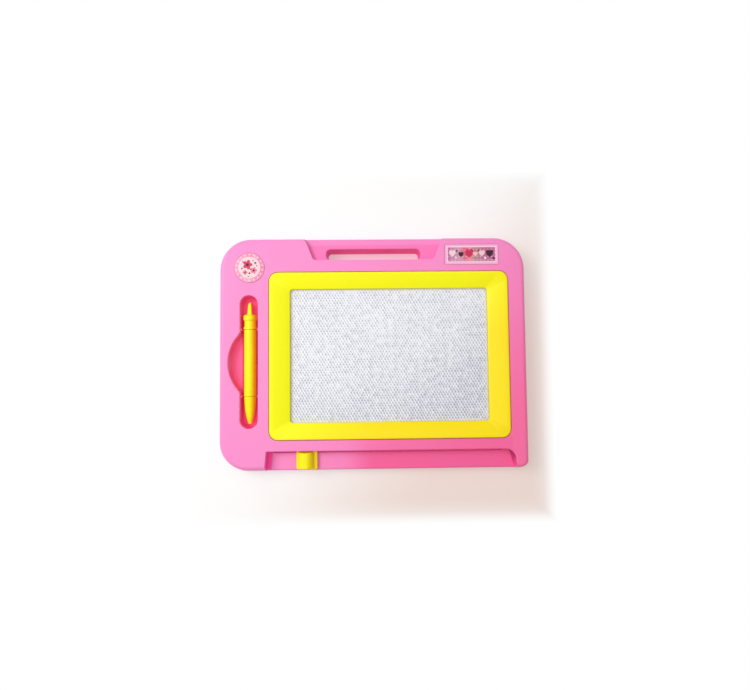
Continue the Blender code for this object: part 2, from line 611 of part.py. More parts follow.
def front_housing(finish):
    """Pink moulding: top face, walls, pen well, scoop, eraser channel, handle and bezel pocket."""
    levels = [(board_outline(), SKIRT_Z), (board_outline(), CHANNEL_Z)]
    for inward, up in quarter_round(EDGE_ROUND, EDGE_STEPS):
        levels.append((board_outline(inward, 1), FLANK_TOP_Z + up))
    housing = loft("front_housing", levels, finish)
    cut(housing, housing_cavity())

    cut(housing, loft("channel_cutter", pocket_levels(channel_outline, CHANNEL_Z, TOP_Z, 0, LIP_ROUND)))
    tongue_room = TONGUE_LENGTH / 2 + RUNNING_GAP
    guide_low = (KNOB_LOW_LIMIT_X - tongue_room, GUIDE_LOW_Y)
    guide_high = (KNOB_HIGH_LIMIT_X + tongue_room, CHANNEL_BACK_Y)
    guide = rounded_rectangle(guide_low, guide_high, (RUNNING_GAP,) * 4)
    cut(housing, prism("guide_cutter", guide, CHANNEL_UNDERSIDE_Z - OVERRUN, CHANNEL_Z + RUNNING_GAP))
    cut(housing, edge_cutter("channel_edge_cutter", CHANNEL_EDGE_LOW_X, CHANNEL_HIGH_X,
                             -HALF_WIDTH, -1, CHANNEL_Z, CHANNEL_EDGE_ROUND))

    cut(housing, prism("handle_cutter", handle_outline(), HANDLE_Z, TOP_Z + OVERRUN))
    narrow_slot = slot_outline(SLOT_DRAFT)
    slot_foot = [(narrow_slot, SKIRT_Z - OVERRUN), (narrow_slot, SKIRT_Z)]
    cut(housing, loft("slot_cutter", slot_foot + lip_levels(slot_outline, HANDLE_Z, LIP_ROUND)))
    cut(housing, edge_cutter("handle_edge_cutter", HANDLE_LOW_X, HANDLE_HIGH_X,
                             HANDLE_EDGE_Y, 1, HANDLE_Z, HANDLE_EDGE_ROUND))

    cut(housing, loft("well_cutter", pocket_levels(well_outline, WELL_Z, TOP_Z, WELL_FOOT_ROUND, LIP_ROUND)))
    scoop = pocket_levels(scoop_outline, WELL_Z + SCOOP_SHALLOWER, TOP_Z, SCOOP_FOOT_ROUND, LIP_ROUND)
    cut(housing, loft("scoop_cutter", scoop))
    nub_offset = PEN_COLLAR_RADIUS + SEAT_GAP + NUB_RADIUS
    for index, y in enumerate((BARREL_LOW_Y, BARREL_HIGH_Y)):
        for side in (-1, 1):
            outline = circle((PEN_X + side * nub_offset, y), NUB_RADIUS, SMALL_SIDES)
            join(housing, prism("nub_%d_%d" % (index, side), outline, WELL_Z - RIB, TOP_Z - NUB_DROP))

    def bezel_pocket_outline(inset):
        return bezel_outline(inset - BEZEL_POCKET_GAP)

    pocket = pocket_levels(bezel_pocket_outline, SEAT_Z, TOP_Z, 0, MIN_ROUND)
    cut(housing, loft("bezel_pocket_cutter", pocket))
    under_z = LEDGE_UNDERSIDE_Z - OVERRUN
    over_z = SEAT_Z + OVERRUN
    cut(housing, prism("ledge_cutter", band_outline(LEDGE_REACH), under_z, over_z))
    half = TAB_LENGTH / 2 + SEAT_GAP
    for index, (x, y, side) in enumerate(tab_places()):
        inner = y - side * (TAB_THICKNESS / 2 + SEAT_GAP)
        outer = y + side * (TAB_THICKNESS / 2 + TAB_HOOK)
        low = (x - half, min(inner, outer), under_z)
        high = (x + half, max(inner, outer), over_z)
        cut(housing, block("tab_slot_%d" % index, low, high))

    cut(housing, prism("badge_cutter", circle((BADGE_X, BADGE_Y), BADGE_RADIUS + SEAT_GAP, BADGE_SIDES),
                       TOP_Z - BADGE_RECESS, TOP_Z + OVERRUN))
    label = rounded_rectangle(LABEL_LOW, LABEL_HIGH, (LABEL_CORNER,) * 4, -SEAT_GAP)
    cut(housing, prism("label_cutter", label, TOP_Z - LABEL_RECESS, TOP_Z + OVERRUN))
    for index, place in enumerate(screw_places()):
        pilot = circle(place, SCREW_RADIUS + SEAT_GAP, SMALL_SIDES)
        cut(housing, prism("pilot_%d" % index, pilot, BOSS_Z - OVERRUN, SCREW_TIP_Z + SEAT_GAP))
    return housing


def rear_cover(finish):
    """Back shell: plate, rim, screw bosses, rails and fences for the eraser, and moulded feet."""
    outline = board_outline(WALL + SEAT_GAP)
    cover = prism("rear_cover", outline, COVER_Z, COVER_INSIDE_Z, finish)
    rim = prism("rim", outline, COVER_Z, COVER_BOSS_Z)
    cut(rim, prism("rim_inside", board_outline(WALL + SEAT_GAP + RIB), COVER_INSIDE_Z, TOP_Z))
    join(cover, rim)
    for index, (side_x, side_y) in enumerate(((-1, -1), (1, -1), (1, 1), (-1, 1))):
        place = (side_x * (HALF_LENGTH - FOOT_INSET), side_y * (HALF_WIDTH - FOOT_INSET))
        join(cover, prism("foot_%d" % index, circle(place, FOOT_RADIUS), 0, COVER_Z + COVER_THICKNESS / 2))

    low_x = KNOB_LOW_LIMIT_X - CARRIER_WIDTH / 2
    high_x = KNOB_HIGH_LIMIT_X + CARRIER_WIDTH / 2
    for name, y in (("front", FRONT_RAIL_Y), ("back", BACK_RAIL_Y)):
        join(cover, block(name + "_rail", (low_x, y - RAIL_WIDTH / 2, COVER_Z + COVER_THICKNESS / 2),
                          (high_x, y + RAIL_WIDTH / 2, RAIL_Z)))
    for name, y, side in (("front", CARRIER_FRONT_Y, -1), ("back", CARRIER_BACK_Y, 1)):
        edges = sorted((y + side * RUNNING_GAP, y + side * (RUNNING_GAP + RIB)))
        join(cover, block(name + "_fence", (low_x, edges[0], COVER_Z + COVER_THICKNESS / 2),
                          (high_x, edges[1], COVER_INSIDE_Z + FENCE_HEIGHT)))
    for index, place in enumerate(screw_places()):
        join(cover, prism("cover_boss_%d" % index, circle(place, COVER_BOSS_RADIUS, SMALL_SIDES),
                          COVER_Z + COVER_THICKNESS / 2, COVER_BOSS_Z))
    for index, place in enumerate(screw_places()):
        cut(cover, prism("counterbore_%d" % index, circle(place, SCREW_HEAD_RADIUS + SEAT_GAP, SMALL_SIDES),
                         -OVERRUN, SCREW_SEAT_Z))
        cut(cover, prism("clearance_%d" % index, circle(place, SCREW_RADIUS + SEAT_GAP, SMALL_SIDES),
                         COVER_Z, COVER_BOSS_Z + OVERRUN))
    cut(cover, prism("sleeve_room", slot_outline(-POCKET_WALL - SEAT_GAP), -OVERRUN, TOP_Z))
    return cover


def screen_bezel(finish):
    """Yellow frame: a thin sloped shell with a lip over the panel and six snap tabs."""
    foot_z = SEAT_Z + SEAT_GAP
    slope_end = BEZEL_SIDE_BAND - BEZEL_LIP_ROUND
    lip_top = LIP_Z + BEZEL_LIP
    hollow_end = PANEL_INSET - SEAT_GAP
    drop = (CREST_Z - lip_top) / (slope_end - BEZEL_CREST)
    hollow_top = CREST_Z - BEZEL_WALL
    profile = [(0, foot_z)]
    profile += [(inward, CREST_Z - BEZEL_ROUND + up) for inward, up in quarter_round(BEZEL_ROUND)]
    profile += [
        (BEZEL_CREST, CREST_Z),
        (slope_end, lip_top),
        (BEZEL_SIDE_BAND, lip_top - BEZEL_LIP_ROUND),
        (BEZEL_SIDE_BAND, LIP_Z),
        (hollow_end, LIP_Z),
        (hollow_end - BEZEL_WALL, hollow_top - drop * (hollow_end - BEZEL_WALL - BEZEL_CREST)),
        (BEZEL_CREST, hollow_top),
        (BEZEL_WALL, hollow_top),
        (BEZEL_WALL, foot_z),
    ]
    levels = [(band_outline(distance), z) for distance, z in profile]
    bezel = loft("screen_bezel", levels, finish, closed=True)
    tail_z = LEDGE_UNDERSIDE_Z - SEAT_GAP - TAB_TAIL
    for index, (x, y, side) in enumerate(tab_places()):
        inner = y - side * TAB_THICKNESS / 2
        outer = y + side * TAB_THICKNESS / 2
        hook = outer + side * TAB_HOOK
        outline = [(inner, tail_z), (outer, tail_z), (hook, tail_z + TAB_TAIL), (outer, tail_z + TAB_TAIL),
                   (outer, hollow_top + BEZEL_WALL / 2), (inner, hollow_top + BEZEL_WALL / 2)]
        if side < 0:
            outline.reverse()
        half = TAB_LENGTH / 2
        rings = [[(end, y_at, z_at) for y_at, z_at in outline] for end in (x - half, x + half)]
        join(bezel, skin("tab_%d" % index, rings))
    return bezel


def band_ring(name, low_z, high_z, outer, inner, finish):
    """Flat ring between two outlines of the bezel band."""
    levels = [(band_outline(outer), low_z), (band_outline(outer), high_z),
              (band_outline(inner), high_z), (band_outline(inner), low_z)]
    return loft(name, levels, finish, closed=True)


def screen_panel(clear, white, grey, tape):
    """Films, honeycomb core, edge seal and the tape that holds the panel to the bezel."""
    prism("screen_back_film", band_outline(PANEL_INSET), BACK_FILM_Z, BACK_FILM_Z + FILM, white)
    prism("honeycomb_core", band_outline(PANEL_INSET + SEAL_WIDTH + SEAT_GAP), CORE_Z, CORE_Z + CORE, grey)
    band_ring("screen_edge_seal", CORE_Z, CORE_Z + CORE, PANEL_INSET, PANEL_INSET + SEAL_WIDTH, white)
    prism("screen_front_film", band_outline(PANEL_INSET), FRONT_FILM_Z, FRONT_FILM_Z + FILM, clear)
    band_ring("panel_tape", TAPE_Z, TAPE_Z + TAPE, PANEL_INSET, PANEL_INSET + TAPE_WIDTH, tape)


def eraser_knob(finish):
    """Yellow slider: a base plate with a rounded grip, grooved at the back for the tongue."""
    low = (KNOB_X - KNOB_LENGTH / 2, KNOB_FRONT_Y)
    high = (KNOB_X + KNOB_LENGTH / 2, KNOB_BACK_Y)
    top = KNOB_Z + KNOB_BASE
    bevel = KNOB_GRIP_INSET / 2
    corners = (KNOB_CORNER,) * 4
    base = rounded_rectangle(low, high, corners)
    levels = [(base, KNOB_Z), (base, top - bevel), (rounded_rectangle(low, high, corners, bevel), top)]
    knob = loft("eraser_knob", levels, finish)
    centre_x = KNOB_X - KNOB_GRIP_OFFSET
    levels = []
    for step in range(HUMP_STEPS + 1):
        rise = math.sin(math.pi / 2 * step / HUMP_STEPS) * KNOB_GRIP_TOP_SHARE
        width = math.sqrt(1 - rise ** 2)
        half = KNOB_GRIP_LENGTH / 2 * width
        ends = KNOB_GRIP_INSET * (2 - width)
        near = (centre_x - half, KNOB_FRONT_Y + ends)
        far = (centre_x + half, KNOB_BACK_Y - ends)
        outline = rounded_rectangle(near, far, (min(KNOB_CORNER, half),) * 4)
        levels.append((outline, top + KNOB_GRIP_HEIGHT * rise))
    levels.insert(0, (levels[0][0], KNOB_Z + KNOB_BASE / 2))
    join(knob, loft("grip", levels))
    half_x = TONGUE_LENGTH / 2 + SEAT_GAP
    groove_y = TONGUE_Y - TONGUE_THICKNESS / 2 - SEAT_GAP
    groove_top = KNOB_Z + TONGUE_RISE + SEAT_GAP
    cut(knob, block("tongue_groove", (KNOB_X - half_x, groove_y, KNOB_Z - OVERRUN),
                    (KNOB_X + half_x, KNOB_BACK_Y + OVERRUN, groove_top)))
    return knob


def eraser_carrier(finish):
    """Bar behind the screen: arm, tray with a magnet groove, ribbed underside, and the tongue."""
    low_x = KNOB_X - CARRIER_WIDTH / 2
    high_x = KNOB_X + CARRIER_WIDTH / 2
    root_z = CARRIER_Z + ARM_THICKNESS / 2
    carrier = block("eraser_carrier", (low_x, CARRIER_FRONT_Y, CARRIER_Z),
                    (high_x, CARRIER_BACK_Y, ARM_TOP_Z), finish)
    join(carrier, block("tray", (low_x, TRAY_FRONT_Y, root_z), (high_x, CARRIER_BACK_Y, TRAY_TOP_Z)))
    tongue_low = (KNOB_X - TONGUE_LENGTH / 2, TONGUE_Y - TONGUE_THICKNESS / 2, root_z)
    tongue_high = (KNOB_X + TONGUE_LENGTH / 2, TONGUE_Y + TONGUE_THICKNESS / 2, KNOB_Z + TONGUE_RISE)
    join(carrier, block("tongue", tongue_low, tongue_high))
    half = MAGNET_WIDTH / 2 + SEAT_GAP
    cut(carrier, block("magnet_groove", (KNOB_X - half, TRAY_FRONT_Y + ARM_OVERLAP, MAGNET_Z - SEAT_GAP),
                       (KNOB_X + half, CARRIER_BACK_Y - ARM_OVERLAP, TOP_Z)))
    span = BACK_RAIL_Y - PAD_LENGTH - FRONT_RAIL_Y - PAD_LENGTH
    count = int(span / TRAY_RIB_PITCH)
    pitch = span / count
    for index in range(count):
        start = FRONT_RAIL_Y + PAD_LENGTH + index * pitch + RIB / 2
        cut(carrier, block("core_out_%d" % index, (low_x + RIB, start, CARRIER_Z - OVERRUN),
                           (high_x - RIB, start + pitch - RIB, CARRIER_Z + TRAY_POCKET_DEPTH)))
    return carrier


def eraser_magnet(finish):
    """Flexible magnet strip in the carrier's groove."""
    half = MAGNET_WIDTH / 2
    inset = ARM_OVERLAP + SEAT_GAP
    return block("eraser_magnet_strip", (KNOB_X - half, TRAY_FRONT_Y + inset, MAGNET_Z),
                 (KNOB_X + half, CARRIER_BACK_Y - inset, MAGNET_TOP_Z), finish)


def glide_pad(name, y, finish):
    """Felt pad under the carrier, over one rail."""
    half = CARRIER_WIDTH / 2 - PAD_INSET
    return block(name, (KNOB_X - half, y - PAD_LENGTH / 2, PAD_Z),
                 (KNOB_X + half, y + PAD_LENGTH / 2, PAD_Z + PAD_THICKNESS), finish)


def pen_nose(finish):
    """Tapered pen front with a spigot for the barrel and a bore for the magnet."""
    profile = []
    for along, radius in PEN_NOSE_SHARES:
        profile.append((PEN_TIP_Y + along * PEN_NOSE_LENGTH, radius * PEN_RADIUS))
    profile += [
        (BARREL_LOW_Y, PEN_RADIUS),
        (BARREL_LOW_Y, PEN_SPIGOT_RADIUS),
        (BARREL_LOW_Y + PEN_SPIGOT_LENGTH, PEN_SPIGOT_RADIUS),
    ]
    centre = (PEN_X, PEN_AXIS_Z)
    nose = turned("pen_nose", profile, centre, finish)
    bore = [(PEN_TIP_Y - OVERRUN, PEN_MAGNET_RADIUS + SEAT_GAP),
            (PEN_TIP_Y + PEN_MAGNET_LENGTH + SEAT_GAP, PEN_MAGNET_RADIUS + SEAT_GAP)]
    cut(nose, turned("magnet_bore", bore, centre))
    return nose


def pen_magnet(finish):
    """Rod magnet in the tip of the pen."""
    profile = [(PEN_TIP_Y, PEN_MAGNET_RADIUS), (PEN_TIP_Y + PEN_MAGNET_LENGTH, PEN_MAGNET_RADIUS)]
    return turned("pen_magnet", profile, (PEN_X, PEN_AXIS_Z), finish)


def pen_barrel(finish):
    """Straight hollow tube between the nose and the end plug."""
    low = BARREL_LOW_Y + SEAT_GAP
    high = BARREL_HIGH_Y
    centre = (PEN_X, PEN_AXIS_Z)
    barrel = turned("pen_barrel", [(low, PEN_RADIUS), (high, PEN_RADIUS)], centre, finish)
    cut(barrel, turned("barrel_bore", [(low - OVERRUN, PEN_BORE), (high + OVERRUN, PEN_BORE)], centre))
    return barrel


def pen_end_plug(finish):
    """Plug with a ring, a neck, a collar and a flat lug with a cord hole."""
    ring_low = BARREL_HIGH_Y + SEAT_GAP
    ring_high = BARREL_HIGH_Y + PEN_RING_LENGTH
    profile = [
        (ring_low - PEN_SPIGOT_LENGTH, PEN_SPIGOT_RADIUS),
        (ring_low, PEN_SPIGOT_RADIUS),
        (ring_low, PEN_RING_RADIUS),
        (ring_high, PEN_RING_RADIUS),
        (ring_high + PEN_ROUND, PEN_NECK_RADIUS),
        (COLLAR_LOW_Y - PEN_ROUND, PEN_NECK_RADIUS),
        (COLLAR_LOW_Y, PEN_COLLAR_RADIUS),
        (COLLAR_HIGH_Y - PEN_ROUND, PEN_COLLAR_RADIUS),
        (COLLAR_HIGH_Y - PEN_SMALL_ROUND, PEN_COLLAR_RADIUS - PEN_SMALL_ROUND),
        (COLLAR_HIGH_Y, PEN_COLLAR_RADIUS - PEN_ROUND),
    ]
    plug = turned("pen_end_plug", profile, (PEN_X, PEN_AXIS_Z), finish)
    half_z = PEN_LUG_HEIGHT / 2
    root_y = COLLAR_HIGH_Y - PEN_ROUND
    outline = rounded_rectangle((root_y, PEN_AXIS_Z - half_z), (PEN_TAIL_Y, PEN_AXIS_Z + half_z),
                                (MIN_ROUND, half_z, half_z, MIN_ROUND))
    thinning = (PEN_LUG_TAIL - PEN_LUG_ROOT) / (PEN_TAIL_Y - root_y)
    rings = []
    for side in (-1, 1):
        ring = []
        for y, z in outline:
            thickness = PEN_LUG_ROOT + thinning * (y - root_y)
            ring.append((PEN_X + side * thickness / 2, y, z))
        rings.append(ring)
    join(plug, skin("lug", rings))
    hole = circle((PEN_TAIL_Y - half_z, PEN_AXIS_Z), PEN_LUG_HOLE, SMALL_SIDES)
    cut(plug, skin("cord_hole", [[(x, y, z) for y, z in hole] for x in (PEN_X - OVERRUN, PEN_X + OVERRUN)]))
    return plug


def corner_badge(finish):
    """Round domed sticker in its recess."""
    centre = (BADGE_X, BADGE_Y)
    low_z = TOP_Z - BADGE_RECESS + SEAT_GAP
    high_z = low_z + BADGE_THICKNESS
    levels = [(circle(centre, BADGE_RADIUS, BADGE_SIDES), low_z)]
    for step in range(ROUND_STEPS + 1):
        share = step / (ROUND_STEPS + 1)
        levels.append((circle(centre, BADGE_RADIUS * math.cos(share * math.pi / 2), BADGE_SIDES),
                       high_z + BADGE_DOME * math.sin(share * math.pi / 2)))
    return loft("corner_badge", levels, finish)


def picture_label(finish):
    """Rectangular sticker in its recess."""
    low_z = TOP_Z - LABEL_RECESS + SEAT_GAP
    outline = rounded_rectangle(LABEL_LOW, LABEL_HIGH, (LABEL_CORNER,) * 4)
    return prism("picture_label", outline, low_z, low_z + LABEL_THICKNESS, finish)


def housing_screw(name, place, finish):
    """Pan-head screw up through the rear cover."""
    head_top = SCREW_HEAD_Z + SCREW_HEAD_HEIGHT
    levels = [
        (circle(place, SCREW_HEAD_RADIUS * SCREW_HEAD_SHARE, SMALL_SIDES), SCREW_HEAD_Z),
        (circle(place, SCREW_HEAD_RADIUS, SMALL_SIDES), SCREW_HEAD_Z + SCREW_HEAD_HEIGHT / 2),
        (circle(place, SCREW_HEAD_RADIUS, SMALL_SIDES), head_top),
        (circle(place, SCREW_RADIUS, SMALL_SIDES), head_top),
        (circle(place, SCREW_RADIUS, SMALL_SIDES), SCREW_TIP_Z - SCREW_RADIUS),
        (circle(place, SCREW_RADIUS * SCREW_TIP_SHARE, SMALL_SIDES), SCREW_TIP_Z),
    ]
    return loft(name, levels, finish)


def parent_to(name, place, pieces):
    """Hang a moving body's pieces on an empty that stands on its joint's axis."""
    guide = bpy.data.objects.new(name, None)
    guide.location = place
    bpy.context.scene.collection.objects.link(guide)
    bpy.context.view_layer.update()
    for piece in pieces:
        piece.parent = guide
        piece.matrix_parent_inverse = guide.matrix_world.inverted()
    return guide


def build():
    """Make the whole board."""
    clear_scene()
    pink = material("pink_plastic", (0.93, 0.24, 0.48), 0.35)
    yellow = material("yellow_plastic", (0.98, 0.83, 0.03), 0.35)
    pen_yellow = material("pen_plastic", (0.98, 0.80, 0.03), 0.3)
    grey = material("honeycomb", (0.74, 0.74, 0.80), 0.6)
    white = material("white_film", (0.85, 0.85, 0.87), 0.5)
    clear = material("clear_film", (0.92, 0.93, 0.95), 0.15)
    tape = material("tape", (0.80, 0.78, 0.72), 0.7)
    nylon = material("white_nylon", (0.80, 0.80, 0.78), 0.45)
    magnet = material("magnet_rubber", (0.06, 0.06, 0.065), 0.7)
    felt = material("felt", (0.25, 0.25, 0.27), 0.95)
    steel = material("steel", (0.55, 0.55, 0.56), 0.3, 1.0)
    sticker = material("sticker_paper", (0.80, 0.55, 0.60), 0.4)

    front_housing(pink)
    rear_cover(pink)
    screen_bezel(yellow)
    screen_panel(clear, white, grey, tape)
    corner_badge(sticker)
    picture_label(sticker)
    for index, place in enumerate(screw_places()):
        housing_screw("housing_screw_%d" % (index + 1), place, steel)

    eraser = [
        eraser_knob(yellow),
        eraser_carrier(nylon),
        eraser_magnet(magnet),
        glide_pad("front_glide_pad", FRONT_RAIL_Y, felt),
        glide_pad("back_glide_pad", BACK_RAIL_Y, felt),
    ]
    parent_to("eraser_axis", (KNOB_X, TONGUE_Y, KNOB_Z), eraser)
    pen = [pen_nose(pen_yellow), pen_magnet(steel), pen_barrel(pen_yellow), pen_end_plug(pen_yellow)]
    parent_to("pen_axis", (PEN_X, (PEN_TIP_Y + PEN_TAIL_Y) / 2, PEN_AXIS_Z), pen)


build()
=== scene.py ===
"""Looks of the magnetic drawing board, dressed piece by piece as the real one is put together."""
import json
import math

import bmesh
import bpy
from mathutils import Matrix, Vector

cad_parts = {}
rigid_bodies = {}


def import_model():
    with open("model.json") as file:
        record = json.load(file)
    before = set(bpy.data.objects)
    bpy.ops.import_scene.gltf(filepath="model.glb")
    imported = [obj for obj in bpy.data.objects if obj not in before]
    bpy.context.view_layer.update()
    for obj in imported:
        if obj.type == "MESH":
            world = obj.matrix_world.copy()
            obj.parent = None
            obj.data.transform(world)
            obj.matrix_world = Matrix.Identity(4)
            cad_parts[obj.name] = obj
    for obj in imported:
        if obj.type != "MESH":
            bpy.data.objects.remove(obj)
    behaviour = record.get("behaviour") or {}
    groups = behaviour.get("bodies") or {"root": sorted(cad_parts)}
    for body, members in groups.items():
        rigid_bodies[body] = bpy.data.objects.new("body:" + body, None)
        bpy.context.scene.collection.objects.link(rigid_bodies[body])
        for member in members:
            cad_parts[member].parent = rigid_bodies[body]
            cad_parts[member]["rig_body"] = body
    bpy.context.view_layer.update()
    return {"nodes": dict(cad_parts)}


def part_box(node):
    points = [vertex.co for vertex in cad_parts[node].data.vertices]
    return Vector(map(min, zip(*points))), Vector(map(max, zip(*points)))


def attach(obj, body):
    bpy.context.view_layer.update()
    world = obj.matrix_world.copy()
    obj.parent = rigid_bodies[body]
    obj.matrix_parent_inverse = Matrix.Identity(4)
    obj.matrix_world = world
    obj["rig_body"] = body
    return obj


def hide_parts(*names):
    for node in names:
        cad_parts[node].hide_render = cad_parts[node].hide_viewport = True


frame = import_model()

nodes = frame["nodes"]
MM = 0.001

# Studio: a camera held over the middle of the board, a pale table top, a window lamp at the upper
# left and a wide ceiling lamp. Nothing here is part of the board.
VIEW_TARGET = Vector((1.4 * MM, 7.8 * MM, 10 * MM))
VIEW_DISTANCE = 460 * MM
VIEW_LEAN_BACK = math.radians(2.80)
VIEW_LEAN_SIDE = math.radians(0.94)
VIEW_ROLL = math.radians(-0.62)
VIEW_NEAREST = 10 * MM
PHOTO_WIDTH_PX = 750
FOCAL_PX = 500.9
SENSOR_MM = 36


def aim_camera():
    """Camera at the photograph's place; its three axes come from the two leans and the roll."""
    back = Vector((-math.sin(VIEW_LEAN_SIDE),
                   -math.sin(VIEW_LEAN_BACK) * math.cos(VIEW_LEAN_SIDE),
                   math.cos(VIEW_LEAN_BACK) * math.cos(VIEW_LEAN_SIDE)))
    right = Vector((0, 1, 0)).cross(back).normalized()
    up = back.cross(right)
    rolled_right = math.cos(VIEW_ROLL) * right + math.sin(VIEW_ROLL) * up
    rolled_up = math.cos(VIEW_ROLL) * up - math.sin(VIEW_ROLL) * right
    lens = bpy.data.cameras.new("photo_camera")
    lens.sensor_width = SENSOR_MM
    lens.lens = FOCAL_PX / PHOTO_WIDTH_PX * SENSOR_MM
    lens.clip_start = VIEW_NEAREST
    camera = bpy.data.objects.new("photo_camera", lens)
    turn = Matrix((rolled_right, rolled_up, back)).transposed().to_4x4()
    camera.matrix_world = Matrix.Translation(VIEW_TARGET + VIEW_DISTANCE * back) @ turn
    bpy.context.scene.collection.objects.link(camera)
    bpy.context.scene.camera = camera


def soft_lamp(name, place, size, power, colour, glossy=True):
    """Square area lamp that faces the board; a screened one leaves no glare on gloss."""
    lamp = bpy.data.lights.new(name, "AREA")
    lamp.size = size
    lamp.energy = power
    lamp.color = colour
    stand = bpy.data.objects.new(name, lamp)
    stand.location = place
    stand.rotation_euler = (-Vector(place)).to_track_quat("-Z", "Y").to_euler()
    stand.visible_glossy = glossy
    bpy.context.scene.collection.objects.link(stand)


class Field:
    """One output of a material's tree. Sums and products on it add Math nodes."""

    def __init__(self, finish, socket):
        self.finish = finish
        self.socket = socket

    def maths(self, operation, *values):
        """Math node of that operation on these values."""
        return self.finish.add("ShaderNodeMath", {"operation": operation}, dict(enumerate(values)))

    def __add__(self, other):
        return self.maths("ADD", self, other)

    def __radd__(self, other):
        return self.maths("ADD", other, self)

    def __sub__(self, other):
        return self.maths("SUBTRACT", self, other)

    def __rsub__(self, other):
        return self.maths("SUBTRACT", other, self)

    def __mul__(self, other):
        return self.maths("MULTIPLY", self, other)

    def __rmul__(self, other):
        return self.maths("MULTIPLY", other, self)

    def __truediv__(self, other):
        return self.maths("DIVIDE", self, other)

    def step(self, low, high):
        """Smooth rise from 0 at low to 1 at high."""
        settings = {"interpolation_type": "SMOOTHSTEP"}
        sockets = {"Value": self, "From Min": low, "From Max": high}
        return self.finish.add("ShaderNodeMapRange", settings, sockets)

    def fall(self, low, high):
        """Smooth fall from 1 at low to 0 at high."""
        return 1 - self.step(low, high)

    def smaller(self, other):
        """The smaller of two values."""
        return self.maths("MINIMUM", self, other)

    def larger(self, other):
        """The larger of two values."""
        return self.maths("MAXIMUM", self, other)

    def within(self, low, high, soft):
        """1 between two limits, with soft edges inside them."""
        half = (high - low) / 2
        return (self - (low + half)).size().fall(half - soft, half)

    def size(self):
        """Value without its sign."""
        return self.maths("ABSOLUTE", self)

    def length_with(self, other):
        """Length of the flat vector that this value makes with another."""
        return self.maths("SQRT", self * self + other * other)

    def angle_over(self, other):
        """Angle of the flat vector whose height is this value and whose width is the other."""
        return self.maths("ARCTAN2", self, other)

    def cosine(self):
        """Cosine of an angle."""
        return self.maths("COSINE", self)

    def from_middle(self, pitch):
        """Distance, with its sign, from the middle of the repeat that the value is in."""
        return (self.maths("FRACT", self / pitch) - 0.5) * pitch


class Finish:
    """Material under construction: its tree, its Principled shader and its own coordinates."""

    def __init__(self, name, colour, roughness, **sockets):
        self.material = bpy.data.materials.new(name)
        self.material.use_nodes = True
        self.tree = self.material.node_tree
        self.shader = self.tree.nodes["Principled BSDF"]
        self.set("Base Color", (*colour, 1))
        self.set("Roughness", roughness)
        for socket, value in sockets.items():
            self.set(socket.replace("_", " ").title().replace("Ior", "IOR"), value)

    def set(self, socket, value):
        """Give the Principled shader a value or a link."""
        self.plug(self.shader.inputs[socket], value)

    def plug(self, target, value):
        """Put a value or a link into one socket."""
        if isinstance(value, Field):
            self.tree.links.new(value.socket, target)
        elif isinstance(value, tuple) and len(value) == 3 and target.type == "RGBA":
            target.default_value = (*value, 1)
        else:
            target.default_value = value

    def add(self, kind, settings=None, sockets=None, output=0):
        """Add one node: its settings first, then the values or links of its sockets."""
        made = self.tree.nodes.new(kind)
        for name, value in (settings or {}).items():
            if name == "stops":
                self.set_stops(made.color_ramp, value)
            else:
                setattr(made, name, value)
        for name, value in (sockets or {}).items():
            self.plug(made.inputs[name], value)
        return Field(self, made.outputs[output])

    def set_stops(self, ramp, stops):
        """Give a colour ramp, which starts with two stops, its places and colours."""
        for element, (place, colour) in zip(ramp.elements, (stops[0], stops[-1])):
            element.position = place
            element.color = (*colour, 1)
        for place, colour in stops[1:-1]:
            ramp.elements.new(place).color = (*colour, 1)

    def place(self, centre=(0, 0, 0), turn=0):
        """Object coordinates from a centre, turned about Z."""
        coordinates = self.add("ShaderNodeTexCoord", output="Object")
        moved = self.add("ShaderNodeVectorMath", {"operation": "SUBTRACT"}, {0: coordinates, 1: centre})
        if not turn:
            return moved
        settings = {"vector_type": "POINT"}
        return self.add("ShaderNodeMapping", settings, {"Vector": moved, "Rotation": (0, 0, turn)})

    def axes(self, vector):
        """X, Y and Z of a vector."""
        split = self.add("ShaderNodeSeparateXYZ", None, {"Vector": vector})
        return [Field(self, split.socket.node.outputs[index]) for index in range(3)]

    def noise(self, size, detail, vector=None, roughness=0.5):
        """Cloudy noise whose clouds are about that size, from 0 to 1."""
        sockets = {"Vector": vector or self.place(), "Scale": 1 / size, "Detail": detail,
                   "Roughness": roughness}
        return self.add("ShaderNodeTexNoise", None, sockets)

    def strokes(self, width, turn, squeeze, detail):
        """Noise drawn out into thin strokes of about that width, all turned one way about Z."""
        sockets = {"Vector": self.place(turn=turn), "Scale": (1, squeeze, 1)}
        long_way = self.add("ShaderNodeMapping", {"vector_type": "POINT"}, sockets)
        return self.noise(width, detail, long_way)

    def mix(self, share, first, second):
        """Colour part of the way from the first to the second; 6, 7 and 2 are a Mix node's colours."""
        settings = {"data_type": "RGBA", "blend_type": "MIX"}
        return self.add("ShaderNodeMix", settings, {0: share, 6: first, 7: second}, output=2)

    def bump(self, height, distance, strength, **sockets):
        """Bump from a height field onto the shader's normal."""
        sockets.update({"Height": height, "Distance": distance, "Strength": strength})
        self.set("Normal", self.add("ShaderNodeBump", None, sockets))


def in_area(x, y, area, soft):
    """1 inside a rectangle seen from above, with soft edges inside its limits, and 0 outside."""
    (low_x, low_y), (high_x, high_y) = area
    return x.within(low_x, high_x, soft) * y.within(low_y, high_y, soft)


